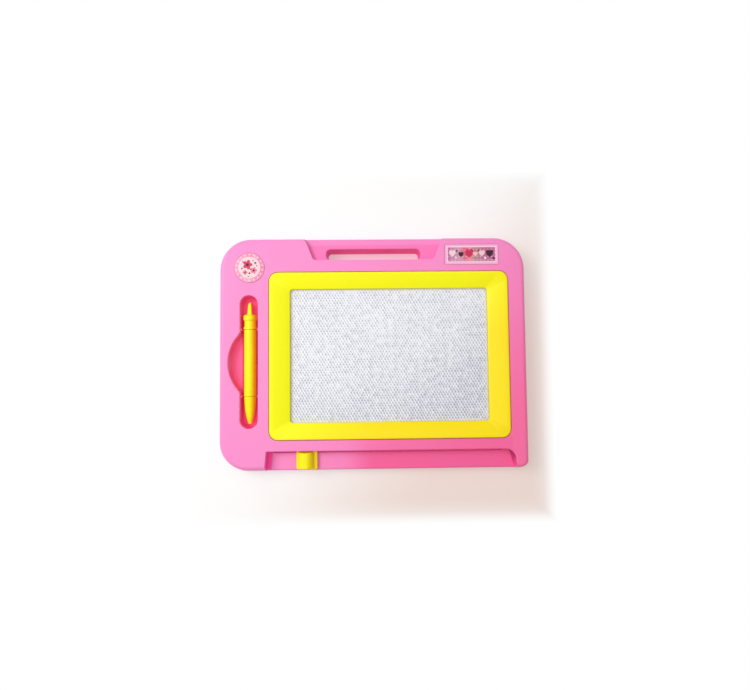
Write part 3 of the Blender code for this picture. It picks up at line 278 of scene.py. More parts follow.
TABLE_SIZE = 3.0
TABLE_ROUGHNESS = 0.8
TABLE_NEAR = (0.985, 0.975, 0.965)
TABLE_FALLOFF_SHADE = (0.86, 0.72, 0.66)
TABLE_FALLOFF_SLANT = 0.8
TABLE_FALLOFF_SPAN = (-0.04, 0.16)
TABLE_LIT_CENTRE = (-0.001, 0.0085)
TABLE_LIT_HALF = (0.157, 0.1535)
TABLE_FADE = (-0.012, 0.014)
TABLE_FILL = 0.5
TABLE_PAINTED_BOUNCE = (1.0, 0.66, 0.76)
TABLE_BOUNCE_AREA = ((-0.050, 0.081), (0.050, 0.102))
TABLE_BOUNCE_EDGE = 0.002


def table_top():
    """Pale table: painted falloff to the lower right, painted pink bounce in the slot, white beyond."""
    work = bmesh.new()
    half = TABLE_SIZE / 2
    corners = ((-half, -half, 0), (half, -half, 0), (half, half, 0), (-half, half, 0))
    work.faces.new([work.verts.new(corner) for corner in corners])
    mesh = bpy.data.meshes.new("table_top")
    work.to_mesh(mesh)
    work.free()
    table = bpy.data.objects.new("table_top", mesh)
    bpy.context.scene.collection.objects.link(table)
    finish = Finish("pale_table", TABLE_NEAR, TABLE_ROUGHNESS)
    x, y, z = finish.axes(finish.place())
    # Painted falloff of light: the table turns warmer and darker towards the lower right.
    painted_falloff = (x - TABLE_FALLOFF_SLANT * y).step(*TABLE_FALLOFF_SPAN)
    # Painted bounce light: the table seen through the handle slot is tinted pink.
    painted_bounce = in_area(x, y, TABLE_BOUNCE_AREA, TABLE_BOUNCE_EDGE)
    colour = finish.mix(painted_bounce, finish.mix(painted_falloff, TABLE_NEAR, TABLE_FALLOFF_SHADE), TABLE_PAINTED_BOUNCE)
    finish.set("Base Color", colour)
    outside = ((x - TABLE_LIT_CENTRE[0]).size() - TABLE_LIT_HALF[0]).larger(
        (y - TABLE_LIT_CENTRE[1]).size() - TABLE_LIT_HALF[1])
    seen = sum(finish.add("ShaderNodeLightPath", output="Is %s Ray" % kind)
               for kind in ("Camera", "Glossy", "Transmission"))
    far_off = outside.step(*TABLE_FADE)
    pale = finish.mix(far_off, colour, (1, 1, 1))
    plain = finish.add("ShaderNodeEmission", None, {"Color": pale, "Strength": 1})
    lit = Field(finish, finish.shader.outputs[0])
    # Painted light: in the lit box the lens sees half the table as emission, which lifts its shadows.
    share = far_off.larger(TABLE_FILL) * seen.smaller(1)
    shown = finish.add("ShaderNodeMixShader", None, {0: share, 1: lit, 2: plain})
    finish.plug(finish.tree.nodes["Material Output"].inputs["Surface"], shown)
    mesh.materials.append(finish.material)


ROOM_POWER = 0.43
ROOM_LIGHT = (1.0, 0.99, 0.985)
WINDOW_LAMP_PLACE = (-0.68, 0.25, 0.76)
WINDOW_LAMP_SIZE = 0.45
WINDOW_LAMP_POWER = 3.95
WINDOW_LAMP_COLOUR = (0.98, 0.985, 1.0)
CEILING_LAMP_PLACE = (-0.25, 0.15, 0.80)
CEILING_LAMP_SIZE = 1.0
CEILING_LAMP_POWER = 3.7
CEILING_LAMP_COLOUR = (1.0, 0.995, 0.985)


def room():
    """Even light from all sides; the lens itself sees it as plain white."""
    world = bpy.data.worlds.new("room")
    world.use_nodes = True
    tree = world.node_tree
    background = tree.nodes["Background"]
    background.inputs["Color"].default_value = (*ROOM_LIGHT, 1)
    path = tree.nodes.new("ShaderNodeLightPath")
    strength = tree.nodes.new("ShaderNodeMapRange")
    strength.inputs["To Min"].default_value = ROOM_POWER
    tree.links.new(path.outputs["Is Camera Ray"], strength.inputs["Value"])
    tree.links.new(strength.outputs[0], background.inputs["Strength"])
    bpy.context.scene.world = world


aim_camera()
table_top()
soft_lamp("window_lamp", WINDOW_LAMP_PLACE, WINDOW_LAMP_SIZE, WINDOW_LAMP_POWER, WINDOW_LAMP_COLOUR)
soft_lamp("ceiling_lamp", CEILING_LAMP_PLACE, CEILING_LAMP_SIZE, CEILING_LAMP_POWER,
          CEILING_LAMP_COLOUR, glossy=False)
room()
bpy.context.scene.view_settings.view_transform = "Standard"

# Housing: two shells moulded in pink polypropylene with a satin tool finish. The front one carries
# the pen well, the scoop, the eraser channel and the handle; the rear one is screwed on from behind.
PINK_LIT = (0.95, 0.275, 0.60)
PINK_FALLOFF_SHADE = (0.99, 0.165, 0.38)
PINK_STEP_SHADE = (0.96, 0.165, 0.46)
PINK_FRONT_SHADE = (0.94, 0.125, 0.34)
PINK_WELL_SHADE = (0.97, 0.13, 0.34)
PINK_SLOT_SHADE = (0.80, 0.055, 0.33)
PINK_LEFT_END_SHADOW = (0.94, 0.09, 0.42)
PINK_SHADE = (0.60, 0.045, 0.21)
PINK_PAINTED_GLOW = (0.08, 0.0, 0.014)
PINK_GUIDE_GLOW = (0.17, 0.013, 0.06)
PINK_ROUGHNESS = 0.38
PINK_SPECULAR = 0.4
PINK_GRAIN = 0.35
PINK_CLOUDS = 0.35
PINK_FALLOFF_SLANT = 1.0
PINK_FALLOFF_SPAN = (-0.03, 0.21)
PINK_FROM = (0.5 * MM, 5 * MM)
WELL_AREA = ((-0.1305, -0.0670), (-0.1030, 0.0535))
WELL_EDGE = 1.5 * MM
WELL_FLOOR = (7.0 * MM, 7.6 * MM)
WELL_BRIM = (17.5 * MM, 19.8 * MM)
STEP_AREA = ((-0.0620, 0.0835), (0.0636, 0.1042))
STEP_EDGE = 1.0 * MM
STEP_FLOOR = (15.4 * MM, 16.0 * MM)
STEP_BRIM = (17 * MM, 19 * MM)
STEP_BACK_SHARE = 0.15
STEP_MORE_SHARE = 0.60
STEP_SHADE_FADE = (0.0975, 0.1005)
SLOT_AREA = ((-0.0425, 0.0850), (0.0441, 0.0955))
SLOT_EDGE = 0.4 * MM
SLOT_FLOOR = (1.5 * MM, 3.0 * MM)
SLOT_BRIM = (14.5 * MM, 16.2 * MM)
CHANNEL_AREA = ((-0.0980, -0.1046), (0.1268, -0.0862))
CHANNEL_EDGE = 0.4 * MM
CHANNEL_FLOOR = (9.9 * MM, 10.3 * MM)
CHANNEL_LEFT_SLANT = 0.1
CHANNEL_LEFT_END = (-0.0837, -0.0822)
CHANNEL_RIGHT_SLANT = 0.31
CHANNEL_RIGHT_END = (0.0944, 0.0956)
GUIDE_AREA = ((-0.0975, -0.0915), (0.1200, -0.0820))
GUIDE_EDGE = 0.1 * MM
GUIDE_DEPTH = (1.6 * MM, 10.4 * MM)
GUIDE_DEPTH_EDGE = 0.3 * MM
LIP_AREA = ((-0.0400, -0.0900), (0.1250, -0.0740))
LIP_EDGE = 3 * MM
LIP_SHADE_SHARE = 0.5
FRONT_SHADE_SPAN = (-0.030, 0.002)
SAME_POINT = 0.001 * MM
SHARP_ANGLE = math.radians(35)
FLAT_ANGLE = math.radians(0.1)


def body_of(node):
    """Name of the CAD body that carries a node."""
    return nodes[node]["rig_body"]


def soften(mesh):
    """Smooth shading where each plane round a corner counts by its whole area, so flats stay flat."""
    work = bmesh.new()
    work.from_mesh(mesh)
    plane_of = {}
    for start in work.faces:
        if start in plane_of:
            continue
        plane = {"area": 0.0}
        plane_of[start] = plane
        waiting = [start]
        while waiting:
            face = waiting.pop()
            plane["area"] += face.calc_area()
            for edge in face.edges:
                for near in edge.link_faces:
                    if near not in plane_of and near.normal.dot(start.normal) > math.cos(FLAT_ANGLE):
                        plane_of[near] = plane
                        waiting.append(near)
    normals = []
    for face in work.faces:
        for corner in face.loops:
            around = {}
            for near in corner.vert.link_faces:
                if near.normal.dot(face.normal) > math.cos(SHARP_ANGLE):
                    around[id(plane_of[near])] = near.normal * plane_of[near]["area"]
            normal = sum(around.values(), Vector())
            normals.append(normal.normalized() if normal.length else face.normal)
    work.free()
    mesh.shade_smooth()
    mesh.normals_split_custom_set(normals)


def dressed(node, finish):
    """Smooth-shaded copy of a CAD node, in one material, that stands for it."""
    mesh = nodes[node].data.copy()
    mesh.name = node + "_skin"
    work = bmesh.new()
    work.from_mesh(mesh)
    bmesh.ops.remove_doubles(work, verts=work.verts, dist=SAME_POINT)
    work.to_mesh(mesh)
    work.free()
    mesh.materials.clear()
    mesh.materials.append(finish.material)
    soften(mesh)
    piece = bpy.data.objects.new(node + "_skin", mesh)
    bpy.context.scene.collection.objects.link(piece)
    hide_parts(node)
    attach(piece, body_of(node))


def in_hollow(place, area, soft, floor, brim):
    """1 in a hollow of that outline, from just above its floor up to its brim."""
    x, y, z = place
    return in_area(x, y, area, soft) * z.fall(*brim) * z.step(*floor)


FLOW_SIZE = 60 * MM


def clouded(finish, share, strength):
    """A painted falloff share from 0 to 1, made uneven by the soft clouds of the moulding's flow."""
    clouds = (finish.noise(FLOW_SIZE, detail=3) - 0.5) * strength
    return (share + clouds).larger(0).smaller(1)


GRAIN_SIZE = 0.35 * MM
GRAIN_DEPTH = 0.02 * MM
RUB_SIZE = 18 * MM
RUB_FRAY = 0.7
RUB_SPAN = (0.5, 0.75)
RUB_DULLS = 0.12
HAIR_WIDTH = 1.1 * MM
HAIR_TURN = 0.6
HAIR_SQUEEZE = 0.06
HAIR_SPAN = (0.70, 0.74)
HAIR_DULLS = 0.10
HAIR_DEPTH = 0.4
EDGE_SOFTNESS = 0.3 * MM
EDGE_SAMPLES = 4


def satin(finish, roughness, grain_strength):
    """Tool grain, dull rubs and a few hair scratches, on edges that catch the light softly."""
    rubs = finish.noise(RUB_SIZE, detail=4, roughness=RUB_FRAY).step(*RUB_SPAN)
    hairs = finish.strokes(HAIR_WIDTH, HAIR_TURN, HAIR_SQUEEZE, detail=1).step(*HAIR_SPAN)
    finish.set("Roughness", roughness + rubs * RUB_DULLS + hairs * HAIR_DULLS)
    edge = finish.add("ShaderNodeBevel", {"samples": EDGE_SAMPLES}, {"Radius": EDGE_SOFTNESS})
    height = finish.noise(GRAIN_SIZE, detail=2) - hairs * HAIR_DEPTH
    finish.bump(height, GRAIN_DEPTH, grain_strength, Normal=edge)


def pink_plastic():
    """Satin pink with a painted falloff of light: paler by the pen, deeper to the lower right.

    Painted shade lies in the hollows, with a painted glow of bounce light in them. The channel's floor
    and the lip above it get painted shade from the middle of the board on, its left end a painted
    shadow and its right end painted shade. The handle's step has painted shade that fades along its
    back edge.
    """
    finish = Finish("pink_polypropylene", PINK_LIT, PINK_ROUGHNESS, specular_ior_level=PINK_SPECULAR)
    place = finish.axes(finish.place())
    x, y, z = place
    off_table = z.step(*PINK_FROM)
    # Painted falloff of light: paler by the pen, deeper to the lower right, kept off the underside.
    painted_falloff = (x - PINK_FALLOFF_SLANT * y).step(*PINK_FALLOFF_SPAN) * off_table
    colour = finish.mix(clouded(finish, painted_falloff, PINK_CLOUDS), PINK_LIT, PINK_FALLOFF_SHADE)
    # Painted shade in the pen well.
    well = in_hollow(place, WELL_AREA, WELL_EDGE, WELL_FLOOR, WELL_BRIM)
    # Painted shade in the handle slot.
    slot = in_hollow(place, SLOT_AREA, SLOT_EDGE, SLOT_FLOOR, SLOT_BRIM)
    # Painted shade in the handle's step, fading along its back edge.
    step = in_hollow(place, STEP_AREA, STEP_EDGE, STEP_FLOOR, STEP_BRIM)
    step = step * (STEP_BACK_SHARE + STEP_MORE_SHARE * y.fall(*STEP_SHADE_FADE))
    channel = in_hollow(place, CHANNEL_AREA, CHANNEL_EDGE, CHANNEL_FLOOR, WELL_BRIM)
    # Painted shadow of the channel's left end wall, on the wall and the floor next to it.
    left_end_shadow = channel * (x - CHANNEL_LEFT_SLANT * y).fall(*CHANNEL_LEFT_END)
    # Painted shade on the channel's right end.
    right_end_shade = channel * (x + CHANNEL_RIGHT_SLANT * y).step(*CHANNEL_RIGHT_END)
    # Painted shade on the channel's floor and the lip above it, from the middle of the board on.
    past_middle = x.step(*FRONT_SHADE_SPAN)
    lip = in_area(x, y, LIP_AREA, LIP_EDGE) * past_middle * off_table * LIP_SHADE_SHARE
    front = lip.larger(channel * past_middle)
    # The hollows' painted shade and shadow go over the colour in turn.
    for share, dye_or_shade in ((step, PINK_STEP_SHADE), (front, PINK_FRONT_SHADE), (well, PINK_WELL_SHADE),
                       (slot, PINK_SLOT_SHADE), (left_end_shadow, PINK_LEFT_END_SHADOW), (right_end_shade, PINK_SHADE)):
        colour = finish.mix(share, colour, dye_or_shade)
    finish.set("Base Color", colour)
    # Painted glow of bounce light in the handle slot, the pen well and the left end's shadow.
    glow = finish.mix(slot.larger(left_end_shadow).larger(well), (0, 0, 0), PINK_PAINTED_GLOW)
    # Painted glow in the eraser's guide slot, so that it shows deep pink.
    guide = in_area(x, y, GUIDE_AREA, GUIDE_EDGE) * z.within(*GUIDE_DEPTH, GUIDE_DEPTH_EDGE)
    finish.set("Emission Color", finish.mix(guide, glow, PINK_GUIDE_GLOW))
    finish.set("Emission Strength", 1.0)
    satin(finish, PINK_ROUGHNESS, PINK_GRAIN)
    return finish


pink = pink_plastic()
dressed("front_housing", pink)
dressed("rear_cover", pink)

# Bezel: one frame moulded in bright yellow, with a narrow crest and a sloped inner face. It snaps
# into the pocket of the front shell and clamps the screen panel under its lip.
YELLOW = (0.99, 0.97, 0.004)
YELLOW_FALLOFF_SHADE = (0.99, 0.77, 0.003)
YELLOW_ROUGHNESS = 0.33
YELLOW_SPECULAR = 0.3
YELLOW_GRAIN = 0.3
YELLOW_CLOUDS = 0.3
YELLOW_FALLOFF_SLANT = 1.3
YELLOW_FALLOFF_SPAN = (-0.02, 0.10)


def yellow_plastic():
    """Bright yellow with a painted falloff to the lower right, soft flow clouds and a fine grain."""
    finish = Finish("yellow_polystyrene", YELLOW, YELLOW_ROUGHNESS, specular_ior_level=YELLOW_SPECULAR)
    x, y, z = finish.axes(finish.place())
    # Painted falloff of light: deeper to the lower right.
    painted_falloff = (x - YELLOW_FALLOFF_SLANT * y).step(*YELLOW_FALLOFF_SPAN)
    finish.set("Base Color", finish.mix(clouded(finish, painted_falloff, YELLOW_CLOUDS), YELLOW, YELLOW_FALLOFF_SHADE))
    satin(finish, YELLOW_ROUGHNESS, YELLOW_GRAIN)
    return finish


dressed("screen_bezel", yellow_plastic())

# Screen: thousands of small cells of white fluid in a honeycomb sheet, sealed at the edge between a
# white film and a clear matt one, and taped under the bezel.
CELL_PITCH = 2.7 * MM
CELL_WALL = 0.62 * MM
CELL_DEPTH = 0.5 * MM
CELL_GAP = 0.01 * MM
CELL_LIGHT_TURN = math.radians(20)
CELL_CORNERS = 6


class Nodes:
    """Geometry tree under construction. It takes the seed mesh as its first input."""

    def __init__(self, name, inputs):
        self.tree = bpy.data.node_groups.new(name, "GeometryNodeTree")
        self.tree.is_modifier = True
        self.tree.interface.new_socket("Geometry", in_out="INPUT", socket_type="NodeSocketGeometry")
        for label, kind in inputs:
            self.tree.interface.new_socket(label, in_out="INPUT", socket_type="NodeSocket" + kind)
        self.tree.interface.new_socket("Geometry", in_out="OUTPUT", socket_type="NodeSocketGeometry")
        self.entry = self.tree.nodes.new("NodeGroupInput")
        self.exit = self.tree.nodes.new("NodeGroupOutput")

    def given(self, label):
        """One of the tree's named inputs."""
        return self.entry.outputs[label]

    def add(self, kind, settings=None, sockets=None):
        """Add one node: its settings first, then the values or links of its sockets."""
        made = self.tree.nodes.new(kind)
        for name, value in (settings or {}).items():
            setattr(made, name, value)
        for name, value in (sockets or {}).items():
            for each in value if isinstance(value, list) else [value]:
                if isinstance(each, bpy.types.NodeSocket):
                    self.tree.links.new(each, made.inputs[name])
                else:
                    made.inputs[name].default_value = each
        return made

    def maths(self, operation, first, second):
        """Math node's output."""
        return self.add("ShaderNodeMath", {"operation": operation}, {0: first, 1: second}).outputs[0]

    def moved(self, shape, **shift):
        """A node's geometry, moved along the axes that are named."""
        along = self.add("ShaderNodeCombineXYZ", None, shift)
        sockets = {"Geometry": shape.outputs[0], "Translation": along.outputs[0]}
        return self.add("GeometryNodeTransform", None, sockets)

    def finish(self, points, shape):
        """End the tree: the shape on every point as real copies, in the given material."""
        copies = self.add("GeometryNodeInstanceOnPoints", None, {"Points": points, "Instance": shape})
        real = self.add("GeometryNodeRealizeInstances", None, {"Geometry": copies.outputs[0]})
        sockets = {"Geometry": real.outputs[0], "Material": self.given("Material")}
        dyed = self.add("GeometryNodeSetMaterial", None, sockets)
        self.tree.links.new(dyed.outputs[0], self.exit.inputs[0])
        return self.tree


def grown(name, tree, values, seeds=()):
    """Plain mesh object from a geometry tree with these input values, on these seed points."""
    seed_mesh = bpy.data.meshes.new(name + "_seed")
    seed_mesh.from_pydata([tuple(seed) for seed in seeds], [], [])
    carrier = bpy.data.objects.new(name + "_seed", seed_mesh)
    bpy.context.scene.collection.objects.link(carrier)
    modifier = carrier.modifiers.new("growth", "NODES")
    modifier.node_group = tree
    for item in tree.interface.items_tree:
        if item.in_out == "INPUT" and item.name in values:
            modifier[item.identifier] = values[item.name]
    carrier.data.update()
    bpy.context.view_layer.update()
    evaluated = carrier.evaluated_get(bpy.context.evaluated_depsgraph_get())
    mesh = bpy.data.meshes.new_from_object(evaluated)
    carrier.modifiers.remove(modifier)
    bpy.data.objects.remove(carrier)
    made = bpy.data.objects.new(name, mesh)
    bpy.context.scene.collection.objects.link(made)
    return made


def honeycomb_tree():
    """Sheet of closed hexagonal cups, each with a rim and a sunk floor, in staggered rows."""
    comb = Nodes("honeycomb_sheet", [
        ("Pitch", "Float"), ("Rim", "Float"), ("Depth", "Float"), ("Height", "Float"),
        ("Columns", "Int"), ("Rows", "Int"), ("Centre", "Vector"), ("Material", "Material")])
    given = comb.given
    maths = comb.maths

    outer = maths("MULTIPLY", maths("SUBTRACT", given("Pitch"), CELL_GAP), 1 / math.sqrt(3))
    hexagon = comb.add("GeometryNodeMeshCircle", {"fill_type": "NGON"},
                       {"Vertices": CELL_CORNERS, "Radius": outer})
    prism = comb.add("GeometryNodeExtrudeMesh", {"mode": "FACES"},
                     {"Mesh": hexagon.outputs[0], "Offset Scale": given("Height")})
    rim = comb.add("GeometryNodeExtrudeMesh", {"mode": "FACES"},
                   {"Mesh": prism.outputs[0], "Selection": prism.outputs["Top"], "Offset Scale": 0})
    inner_share = maths("SUBTRACT", 1, maths("DIVIDE", given("Rim"), given("Pitch")))
    shrunk = comb.add("GeometryNodeScaleElements", {"domain": "FACE"},
                      {"Geometry": rim.outputs[0], "Selection": rim.outputs["Top"],
                       "Scale": inner_share})
    down = maths("MULTIPLY", given("Depth"), -1)
    cup = comb.add("GeometryNodeExtrudeMesh", {"mode": "FACES"},
                   {"Mesh": shrunk.outputs[0], "Selection": rim.outputs["Top"], "Offset Scale": down})
    turned_cup = comb.add("GeometryNodeTransform", None,
                          {"Geometry": cup.outputs[0], "Rotation": (0, 0, math.pi / CELL_CORNERS)})
    # Each cup point stores its place across the cell towards the light, for a painted wall shadow.
    where = comb.add("GeometryNodeInputPosition")
    uphill = comb.add("ShaderNodeVectorMath", {"operation": "DOT_PRODUCT"},
                      {0: where.outputs[0], 1: (math.cos(CELL_LIGHT_TURN), math.sin(CELL_LIGHT_TURN), 0)})
    lit_side = maths("DIVIDE", uphill.outputs["Value"], given("Pitch"))
    marked = comb.add("GeometryNodeStoreNamedAttribute", {"data_type": "FLOAT", "domain": "POINT"},
                      {"Geometry": turned_cup.outputs[0], "Name": "cell_side", "Value": lit_side})

    row_step = maths("MULTIPLY", given("Pitch"), math.sqrt(3))
    span_x = maths("MULTIPLY", given("Pitch"), maths("SUBTRACT", given("Columns"), 1))
    span_y = maths("MULTIPLY", row_step, maths("SUBTRACT", given("Rows"), 1))
    grid = comb.add("GeometryNodeMeshGrid", None,
                    {"Size X": span_x, "Size Y": span_y, "Vertices X": given("Columns"),
                     "Vertices Y": given("Rows")})
    half_pitch = maths("MULTIPLY", given("Pitch"), 0.5)
    half_row = maths("MULTIPLY", row_step, 0.5)
    staggered = comb.moved(grid, X=half_pitch, Y=half_row)
    both = comb.add("GeometryNodeJoinGeometry", None, {0: [staggered.outputs[0], grid.outputs[0]]})
    centred = comb.add("GeometryNodeTransform", None,
                       {"Geometry": both.outputs[0], "Translation": given("Centre")})
    return comb.finish(centred.outputs[0], marked.outputs[0])


WALL_WHITE = (0.88, 0.88, 0.96)
WALL_SHADED = (0.76, 0.76, 0.86)
FLUID_LIT = (1.0, 1.0, 1.0)
FLUID_IN_SHADOW = (0.50, 0.50, 0.60)
FLUID_FALLOFF_SHADE = (0.40, 0.40, 0.49)
FLUID_SHADOW_SPAN = (-0.22, 0.12)
FLUID_DEPTH_SHARES = (0.6, 0.2)
SHEET_ROUGHNESS = 0.55
PATCH_SIZE = 4.5 * MM
PATCH_SHARE = 1.3
CLOUD_SIZE = 22 * MM
CLOUD_SHARE = 0.4
SCREEN_FALLOFF_SLANT = 1.8
SCREEN_FALLOFF_SPAN = (-0.02, 0.17)
SCREEN_FALLOFF_SHARE = 0.15
BEZEL_OPENING = ((-0.0755, -0.0619), (0.1040, 0.0589))
RIM_PAINTED_REFLECTION = (1.0, 0.97, 0.62)
RIM_WIDTH = 3 * MM
RIM_SHARE = 0.6


def fluid_and_walls(top_z):
    """White cell walls over grey-white fluid, with painted shadows, falloff and warm bezel reflection.
    """
    finish = Finish("honeycomb_sheet", WALL_WHITE, SHEET_ROUGHNESS)
    x, y, z = finish.axes(finish.place())
    sunk = z.fall(*(top_z - share * CELL_DEPTH for share in FLUID_DEPTH_SHARES))
    # Painted shadow of each cell's wall: the fluid is dark near the wall towards the light, lit past
    # it.
    lit_side = finish.add("ShaderNodeAttribute", {"attribute_name": "cell_side"}, output="Fac")
    patches = (finish.noise(PATCH_SIZE, detail=3) - 0.5) * PATCH_SHARE
    uneven = patches + (finish.noise(CLOUD_SIZE, detail=2) - 0.5) * CLOUD_SHARE
    # Painted falloff of light: walls and fluid turn darker towards the lower right.
    falloff_shade = (x - SCREEN_FALLOFF_SLANT * y).step(*SCREEN_FALLOFF_SPAN)
    lightness = (lit_side + uneven - falloff_shade * SCREEN_FALLOFF_SHARE).step(*FLUID_SHADOW_SPAN)
    fluid = finish.mix(lightness, finish.mix(falloff_shade, FLUID_IN_SHADOW, FLUID_FALLOFF_SHADE), FLUID_LIT)
    cells = finish.mix(sunk, finish.mix(falloff_shade, WALL_WHITE, WALL_SHADED), fluid)
    # Painted warm reflection of the yellow bezel on the screen next to it.
    rim = 1 - in_area(x, y, BEZEL_OPENING, RIM_WIDTH)
    finish.set("Base Color", finish.mix(rim * RIM_SHARE, cells, RIM_PAINTED_REFLECTION))
    return finish


def honeycomb():
    """The cell sheet in the space of the CAD core."""
    low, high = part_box("honeycomb_core")
    row_pitch = CELL_PITCH * math.sqrt(3)
    middle_x = (low.x + high.x - CELL_PITCH / 2) / 2
    middle_y = (low.y + high.y - row_pitch / 2) / 2
    sheet = grown("honeycomb_cells", honeycomb_tree(), {
        "Pitch": CELL_PITCH, "Rim": CELL_WALL, "Depth": CELL_DEPTH, "Height": high.z - low.z,
        "Columns": int((high.x - low.x) / CELL_PITCH) - 1, "Rows": int((high.y - low.y) / row_pitch),
        "Centre": (middle_x, middle_y, low.z), "Material": fluid_and_walls(high.z).material})
    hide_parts("honeycomb_core")
    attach(sheet, "board")


FILM_CLEAR = (0.93, 0.93, 0.96)
FILM_ROUGHNESS = 0.30
FILM_SPECULAR = 0.5
FILM_HAZE = 0.07
PEN_STROKE_WIDTH = 1.3 * MM
PEN_STROKE_TURN = 0.9
PEN_STROKE_SQUEEZE = 0.05
PEN_STROKE_SPAN = (0.62, 0.74)
PEN_STROKE_HAZE = 0.05
SMEAR_SIZE = 15 * MM
SMEAR_DULLS = 0.12


def clear_film():
    """Clear matt sheet with the haze and the fine strokes that a pen leaves on it."""
    finish = Finish("clear_film", FILM_CLEAR, FILM_ROUGHNESS, specular_ior_level=FILM_SPECULAR)
    lines = finish.strokes(PEN_STROKE_WIDTH, PEN_STROKE_TURN, PEN_STROKE_SQUEEZE, detail=2)
    finish.set("Alpha", FILM_HAZE + lines.step(*PEN_STROKE_SPAN) * PEN_STROKE_HAZE)
    finish.set("Roughness", FILM_ROUGHNESS + finish.noise(SMEAR_SIZE, detail=3) * SMEAR_DULLS)
    return finish


SHEET_SHADE = 0.86
SHEET_CLOUD = 9 * MM
SHEET_CLOUD_SPAN = (0.4, 0.8)
SHEET_GRAIN_DEPTH = 0.05 * MM
SHEET_GRAIN_STRENGTH = 0.4


def plain_sheet(name, colour, roughness, grain_size):
    """Flat film, tape or felt with a little cloud and grain of its own."""
    finish = Finish(name, colour, roughness)
    darker = tuple(SHEET_SHADE * part for part in colour)
    clouds = finish.noise(SHEET_CLOUD, detail=4).step(*SHEET_CLOUD_SPAN)
    finish.set("Base Color", finish.mix(clouds, colour, darker))
    finish.bump(finish.noise(grain_size, detail=3), SHEET_GRAIN_DEPTH, SHEET_GRAIN_STRENGTH)
    return finish


FILM_WHITE = (0.80, 0.80, 0.83)
TAPE_BUFF = (0.72, 0.69, 0.60)

honeycomb()
dressed("screen_front_film", clear_film())
white_film = plain_sheet("white_film", FILM_WHITE, roughness=0.5, grain_size=0.5 * MM)
dressed("screen_back_film", white_film)
dressed("screen_edge_seal", white_film)
tape = plain_sheet("double_sided_tape", TAPE_BUFF, roughness=0.7, grain_size=0.4 * MM)
dressed("panel_tape", tape)

# Stickers: a domed round badge and a flat printed label, both with plain flower and heart motifs on
# gloss paper. They are stuck in shallow recesses of the front shell.
INK = (0.05, 0.008, 0.02)
LEAF = (0.28, 0.07, 0.15)
PETAL_RED = (0.66, 0.03, 0.10)
PETAL_PINK = (0.84, 0.17, 0.29)
PETAL_ROOT_SHARE = 0.62
EYE_SHARES = (0.24, 0.34)
PETAL_EDGE_MM = 0.2
SPOT_EDGE_MM = 0.15
PRINT_DEPTH = 0.01 * MM
PRINT_STRENGTH = 0.3


def from_centre(finish, node):
    """X, Y and Z from the middle of a CAD node."""
    low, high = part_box(node)
    return finish.axes(finish.place(tuple((low + high) / 2)))


def flower(x, y, centre, petals, radius):
    """Masks of a flower's petals and of its eye."""
    u = x - centre[0]
    v = y - centre[1]
    distance = u.length_with(v)
    wave = (v.angle_over(u) * (petals / 2)).cosine().size()
    reach = radius * PETAL_ROOT_SHARE + wave * (radius * (1 - PETAL_ROOT_SHARE))
    eye = distance.fall(*(radius * share for share in EYE_SHARES))
    return (distance - reach).fall(-PETAL_EDGE_MM, PETAL_EDGE_MM), eye


def spot(x, y, centre, radius):
    """Mask of a round spot."""
    distance = (x - centre[0]).length_with(y - centre[1])
    return distance.fall(radius - SPOT_EDGE_MM, radius + SPOT_EDGE_MM)


BADGE_ROUGHNESS = 0.34
BADGE_SPECULAR = 0.4
BADGE_COAT = 0.2
BADGE_PALE = (0.93, 0.66, 0.70)
BADGE_ROSE = (0.88, 0.50, 0.56)
BADGE_RING = (0.84, 0.25, 0.41)
BADGE_RING_PALE = (0.92, 0.43, 0.56)
BADGE_DOT = (0.99, 0.70, 0.78)
BADGE_RIM = (0.84, 0.40, 0.56)
BADGE_PAPER = 2.2 * MM
BADGE_PAPER_SPAN = (0.45, 0.75)
BADGE_ROSE_SHARE = 0.5
BADGE_SHADE = 4 * MM
BADGE_SHADE_SPAN = (0.35, 0.75)
BADGE_RING_MM = (9.5, 10.1)
BADGE_RIM_MM = (12.7, 13.0)
BADGE_DOTS = 18
BADGE_DOTS_AT_MM = 11.6
BADGE_DOT_MM = (0.5, 0.8)
BADGE_FLOWERS = (((-1.6, 2.6), 5, 4.4, PETAL_RED), ((3.9, -2.6), 5, 3.1, PETAL_PINK),
                 ((-3.8, -4.4), 4, 2.3, PETAL_PINK))
BADGE_SEEDS = (((5.4, 4.2), 0.9, INK), ((3.4, 6.2), 0.6, LEAF), ((6.6, 1.6), 0.6, LEAF),
               ((0.2, -5.2), 0.8, INK), ((-6.6, -0.8), 0.8, LEAF), ((-5.9, 5.2), 0.6, LEAF),
               ((1.0, -1.6), 0.7, LEAF), ((-0.8, -8.0), 0.5, INK))


